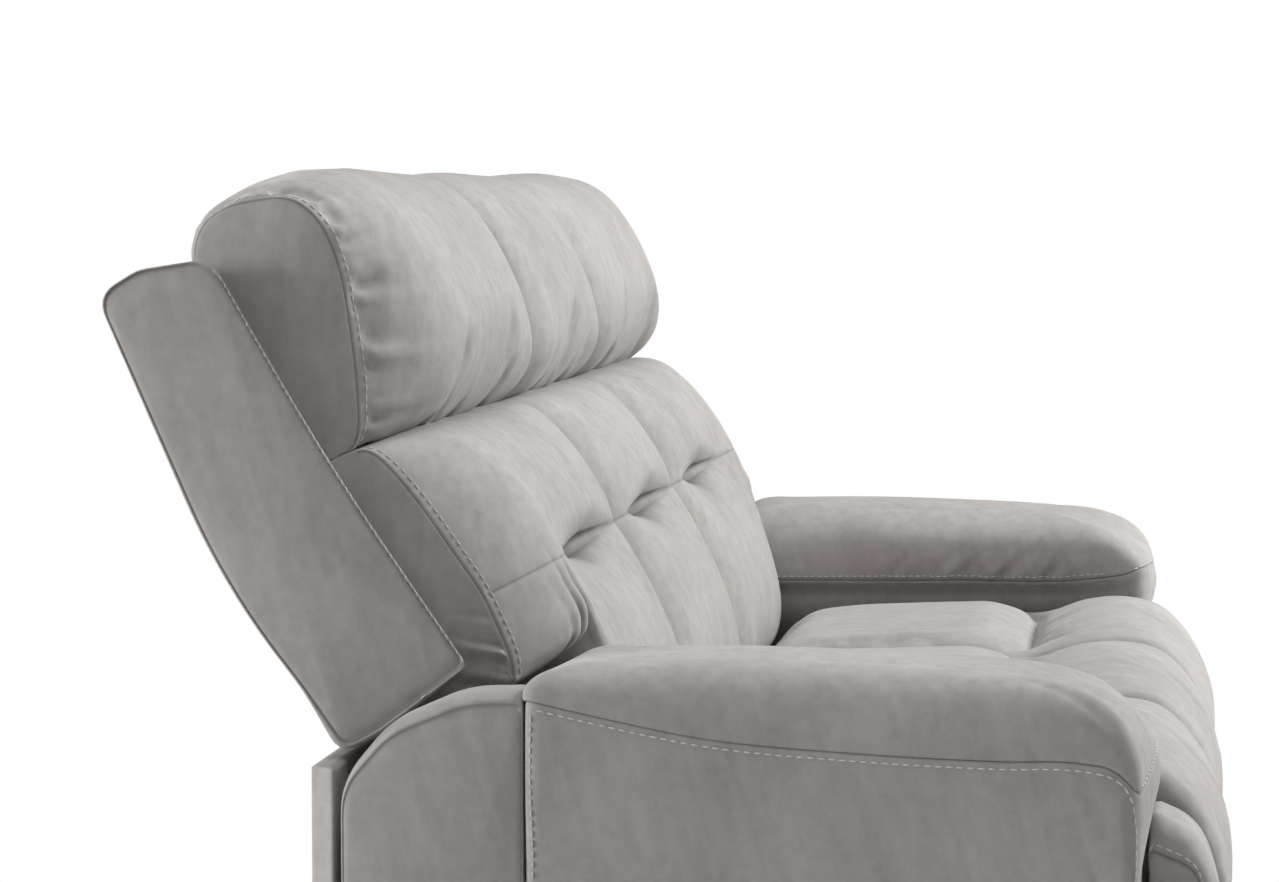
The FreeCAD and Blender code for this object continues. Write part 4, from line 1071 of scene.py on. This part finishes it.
def cut_cup_opening(piece):
    """Opens the skin behind the handle cup's flange."""
    low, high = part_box("right_handle_cup")
    rim = 0.004
    low_y, high_y = low.y + rim, high.y - rim
    low_z, high_z = low.z + rim, high.z - rim

    def choose(margin):
        """Selects the outer faces that lie in the opening or within a margin of it."""
        bpy.ops.mesh.select_all(action="DESELECT")
        bpy.ops.object.mode_set(mode="OBJECT")
        for face in piece.data.polygons:
            in_y = low_y - margin < face.center.y < high_y + margin
            in_z = low_z - margin < face.center.z < high_z + margin
            face.select = in_y and in_z and face.center.x < -SPINE_X
        bpy.ops.object.mode_set(mode="EDIT")

    pick_only(piece)
    bpy.ops.object.mode_set(mode="EDIT")
    bpy.ops.mesh.select_mode(type="FACE")
    for place, normal in [((0, low_y, 0), (0, 1, 0)), ((0, high_y, 0), (0, 1, 0)),
                          ((0, 0, low_z), (0, 0, 1)), ((0, 0, high_z), (0, 0, 1))]:
        choose(0.02)
        bpy.ops.mesh.bisect(plane_co=place, plane_no=normal)
    choose(0.0)
    bpy.ops.mesh.delete(type="FACE")
    bpy.ops.object.mode_set(mode="OBJECT")


def stitch_arm(arm, casing, pillow):
    """Topstitching of the arm: below the pillow and down the front corner, rear edge, inside, nose."""
    face = -ARM_OUT

    def sew(name, piece, points):
        placed = [(x, y + ARM_FRONT_Y, z) for x, y, z in points]
        sew_along("right_arm_stitches_" + name, "base", piece, placed)

    side = [(face, y, ARM_SEAM_OUT(y) - 0.0065) for y in np.linspace(0.547, 0.060, 22)]
    sew("side", casing, side + [(face, y, z) for y, z in ARM_CORNER])
    sew("rear", casing, [(face, 0.553, z) for z in np.linspace(0.578, 0.08, 12)])
    sew("inner", pillow, [(-0.755, y, ARM_SEAM_IN(y) + 0.005) for y in np.linspace(0.54, 0.05, 20)])
    front = arm.front > 0.25
    order = np.argsort(arm.x[front])[::3]
    nose = [value[front][order] for value in (-arm.x, arm.y - arm.puff, arm.seam + 0.004)]
    sew("front", pillow, list(zip(*nose)))


QUARTER_CROWN = [(560, 60, 3), (733, 60, 3), (733, 512, 70), (690, 564, 90), (620, 595, 110), (560, 597, 8)]
QUARTER_EDGE = [(562, 63, 3), (729, 63, 3), (729, 505, 62), (684, 556, 84), (614, 585, 100), (562, 587, 8)]
QUARTER_T = 0.072
QUARTER_IN = 0.008


def make_quarter():
    """Panel behind the arm: a full outer face, a seam, and a boxing strip that rolls over its top, with
    painted shade on the strip.
    """
    form = Padding(QUARTER_EDGE, QUARTER_CROWN, moved(seat_place, QUARTER_IN - ARM_OUT), QUARTER_T,
                   rolled(QUARTER_T, 0.040, 0.010), cap=0.08, puff=(0.005, 0))
    grid, rows, columns = plain_grid(form, 0.006, 0.006, [0.0])
    line = 0.8 * bell(rows[:, None], 0.0011) * between(columns[None, :], 1.1, 5.9)
    # Painted shade on the boxing strip, which lies under the wing.
    strip = 0.45 * step_up(rows[:, None], 0.002, 0.014)
    piece = skin_object("right_quarter_skin", grooved(grid, rows), darkest(line, strip))
    both_ends(piece, "base", SIDE_SUEDE, "right_arm_quarter")


REAR_COVER_END = [(743, 62, 1), (745, 62, 1), (745, 519, 1), (743, 519, 1)]
REAR_COVER_FULL = [(743, 60, 2), (768, 60, 3), (768, 520, 3), (743, 520, 3)]


def make_rear_cover():
    """Covered panel across the rear of the base; its rear face slopes forward at the ends."""
    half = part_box("rear_panel")[1].x
    form = Padding(REAR_COVER_END, REAR_COVER_FULL, moved(seat_place, -half), 2 * half,
                   lambda d: np.clip(np.minimum(d, 2 * half - d) / 0.020, 0, 1), cap=0.02)
    ends = np.linspace(0, 0.06, 16)
    rows = np.concatenate([ends, np.linspace(0.10, form.length - 0.10, 40), form.length - ends[::-1]])
    grid = form.grid(rows, even_places([form.edge, form.crown], 0.003))
    dress(skin_object("rear_panel_cover", grid), "base", SIDE_SUEDE, "rear_panel")


# Seats
SEAT_UNDER = [(-40, 336), (-10, 340), (-8, 364), (120, 364), (300, 364)]
SEAT_EDGE = [(488, 364), (487, 424), (455, 450), (390, 460), (318, 463), (240, 466), (185, 466), (140, 456),
             (95, 458), (40, 463), (-8, 461), (-34, 446), (-54, 422), (-66, 390), (-72, 358),
             (-66, 338)] + SEAT_UNDER
SEAT_CROWN = [(488, 364), (486, 450), (455, 484), (390, 496), (318, 501), (240, 504), (185, 506), (140, 498),
              (95, 510), (40, 520), (-8, 518), (-40, 497), (-68, 455), (-82, 410), (-89, 362),
              (-82, 338)] + SEAT_UNDER
SEAT_TOP = (1.2, 12.0)
CREASE_Y = 0.140
CREASE_RADIUS = 0.080


def rear_pad_edge(x, y):
    """Signed distance from the sewn edge of the rear pad, whose front corners are round."""
    half = SEAT_HALF - 0.018
    side = np.abs(x) - (half - CREASE_RADIUS)
    front = (CREASE_Y + CREASE_RADIUS) - y
    corner = np.hypot(np.maximum(side, 0), np.maximum(front, 0)) + np.minimum(np.maximum(side, front), 0)
    return corner - CREASE_RADIUS


def make_seat(name, middle):
    """Seat cushion: a front roll, and a rear pad with a sewn edge drawn into a crease."""
    width = 2 * SEAT_HALF

    def rise(d):
        side = np.minimum(d, width - d)
        return 0.64 * roll_rise(side, 0.030) + 0.36 * np.sin(math.pi * np.clip(d / width, 0, 1)) ** 0.9

    def pad_edge(grid):
        return rear_pad_edge(grid[..., 0] - middle, grid[..., 1] - ARM_FRONT_Y)

    def held(across, around, grid):
        under = (around > 14.5) | (around < 0.6)
        sewn = (np.abs(pad_edge(grid)) < 0.007) & (between(around, *SEAT_TOP) > 0)
        return (under | sewn | form.at_ends(across)) * 1.0

    def shape(across, around, grid):
        return -0.012 * bell(pad_edge(grid), 0.012) * between(around, *SEAT_TOP)

    def detail(across, around, grid):
        """A crisp crease along a sewn edge; painted shade in it and in the valleys between the seats."""
        top = between(around, *SEAT_TOP)
        off = pad_edge(grid)
        to_valley = SEAT_HALF - np.abs(grid[..., 0] - middle)
        inside = top * (to_valley > 0.003)
        # Painted shade in the valleys between the seats; the crease line is a dark sewn edge with painted
        # shade in the crease.
        valley = 0.95 * np.exp(-np.clip(to_valley, 0, 1) / 0.012) * top
        line = 0.9 * bell(off, 0.0034) * inside
        return -0.007 * np.exp(-np.abs(off) / 0.004) * inside, darkest(line, valley)

    form = Padding(SEAT_EDGE, SEAT_CROWN, moved(seat_place, middle - SEAT_HALF), width, rise, cap=0.06)
    return soft_skin(name, form, held, detail, shape=shape, slack=0.01, limit=0.007)[0]


HEM = [(-4, 317, 3), (-4, 340, 4), (38, 340, 2), (38, 317, 2)]


def make_hem(name, node):
    """The cover's hem, wrapped round the seat's front board."""
    low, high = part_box(node)
    side = 0.003

    def place(x, y, z):
        return np.stack([low.x - side + x, low.y + y, z], axis=-1)

    form = Padding(HEM, HEM, place, high.x - low.x + 2 * side, lambda d: 0 * d, cap=0.004)
    return plain_skin(name, form, 0.012, 0.002)


def make_seats():
    end = make_seat("right_seat_skin", -SEAT_PITCH)
    both_ends(end, "right_seat", SEAT_SUEDE, "right_seat_cushion")
    dress(make_seat("mid_seat_skin", 0.0), "base", SEAT_SUEDE, "mid_seat_cushion")
    both_ends(make_hem("right_seat_hem", "right_seat_frame"), "right_seat", SEAT_SUEDE, None)
    dress(make_hem("mid_seat_hem", "mid_seat_frame"), "base", SEAT_SUEDE, None)


EAR_EDGE = [(-8, 345), (-8, 395), (-6, 442), (-20, 440), (-37, 434), (-49, 424), (-57, 400), (-60, 345),
            (-34, 340)]
EAR_CROWN = [(-8, 340), (-8, 400), (-8, 470), (-27, 468), (-46, 456), (-58, 438), (-66, 406), (-71, 345),
             (-40, 336)]
EAR_IN = 0.254


def make_ears():
    """The outer ends of the front roll, in front of the arms, with a sewn end panel."""
    width = BACK_OUT + PAST_BACK - EAR_IN

    def rise(d):
        return roll_rise(d, 0.034) * (0.6 + 0.4 * roll_rise(width - d, 0.03))

    def detail(across, around, grid):
        front = between(around, 1.5, 7.5)
        seam = bell(across, SEAM_WIDTH) * front
        fade = np.exp(-np.clip(across - 0.006, 0, 1) / 0.02) * (across > PAST_SEAM)
        return 0.0012 * puckers(around * 2, 0.4) * fade * front - SEAM_DEPTH * seam, seam

    def held(across, around, grid):
        return (form.at_ends(across) | (grid[..., 1] - ARM_FRONT_Y > -0.012)) * 1.0

    form = Padding(EAR_EDGE, EAR_CROWN, moved(seat_place, END_X - PAST_BACK), width, rise, cap=0.03,
                   puff=(0.002, 0))
    piece, skin = soft_skin("right_ear_skin", form, held, detail, [0.0], step=0.009, fine_step=0.005,
                            limit=0.006)
    both_ends(piece, "right_seat", SEAT_SUEDE, "right_seat_ear")
    sew_beside("right_ear_stitches", "right_seat", skin, 0.006, 1.8, 7.0)


FOOT_EDGE = [(-35, 64, 4), (-35, 310, 4), (-58, 310, 10), (-72, 270, 30), (-72, 104, 30), (-58, 64, 10)]
FOOT_CROWN = [(-35, 64, 4), (-35, 310, 4), (-78, 310, 14), (-90, 270, 30), (-90, 104, 30), (-78, 64, 14)]


def make_foot_pads():
    """Footrest pads and the fixed pad under the middle seat."""
    def no_detail(across, around, grid):
        return 0 * across, 0 * around

    def held(across, around, grid):
        return (grid[..., 1] - ARM_FRONT_Y > -0.040) * 1.0

    def build(name, start, width):
        rise = rolled(width, 0.05, 0.05)
        form = Padding(FOOT_EDGE, FOOT_CROWN, moved(seat_place, start), width, rise, cap=0.04)
        return soft_skin(name, form, held, no_detail, step=0.014, fine_step=0.008)[0]

    end = build("right_footrest_skin", END_X - PAST_BACK, END_WIDTH + PAST_BACK)
    both_ends(end, "right_footrest", SEAT_SUEDE, "right_footrest_pad")
    mid = build("mid_front_skin", -SEAT_HALF, 2 * SEAT_HALF)
    dress(mid, "base", SEAT_SUEDE, "mid_front_pad")


make_heads()
make_lumbar("right_lumbar", END_X, END_WIDTH, True, -SEAT_PITCH)
make_lumbar("mid_lumbar", -SEAT_HALF, 2 * SEAT_HALF, False, 0.0)
make_wing()
make_back_pad()
make_outside_backs()
arm = Arm()
arm_pillow = make_arm_pillow(arm)
arm_casing = make_arm_casing(arm)
stitch_arm(arm, arm_casing, arm_pillow)
make_quarter()
make_rear_cover()
make_seats()
make_ears()
make_foot_pads()


# Finishes of the frame's own pieces
def finish_nodes():
    """A finish for each node by the last word of its name; the seat and footrest boards are covered."""
    by_word = {
        "frame": WOOD, "rails": WOOD, "runners": WOOD, "board": SEAT_SUEDE, "webbing": STRAP, "links": STEEL,
        "plates": STEEL, "tracks": STEEL, "brackets": STEEL, "feet": PLASTIC, "cup": PLASTIC,
        "lever": PLASTIC,
    }
    for name, node in nodes.items():
        found = [finish for word, finish in by_word.items() if name.endswith(word)]
        node.data.materials.clear()
        node.data.materials.append(found[0] if found else SIDE_SUEDE)


finish_nodes()
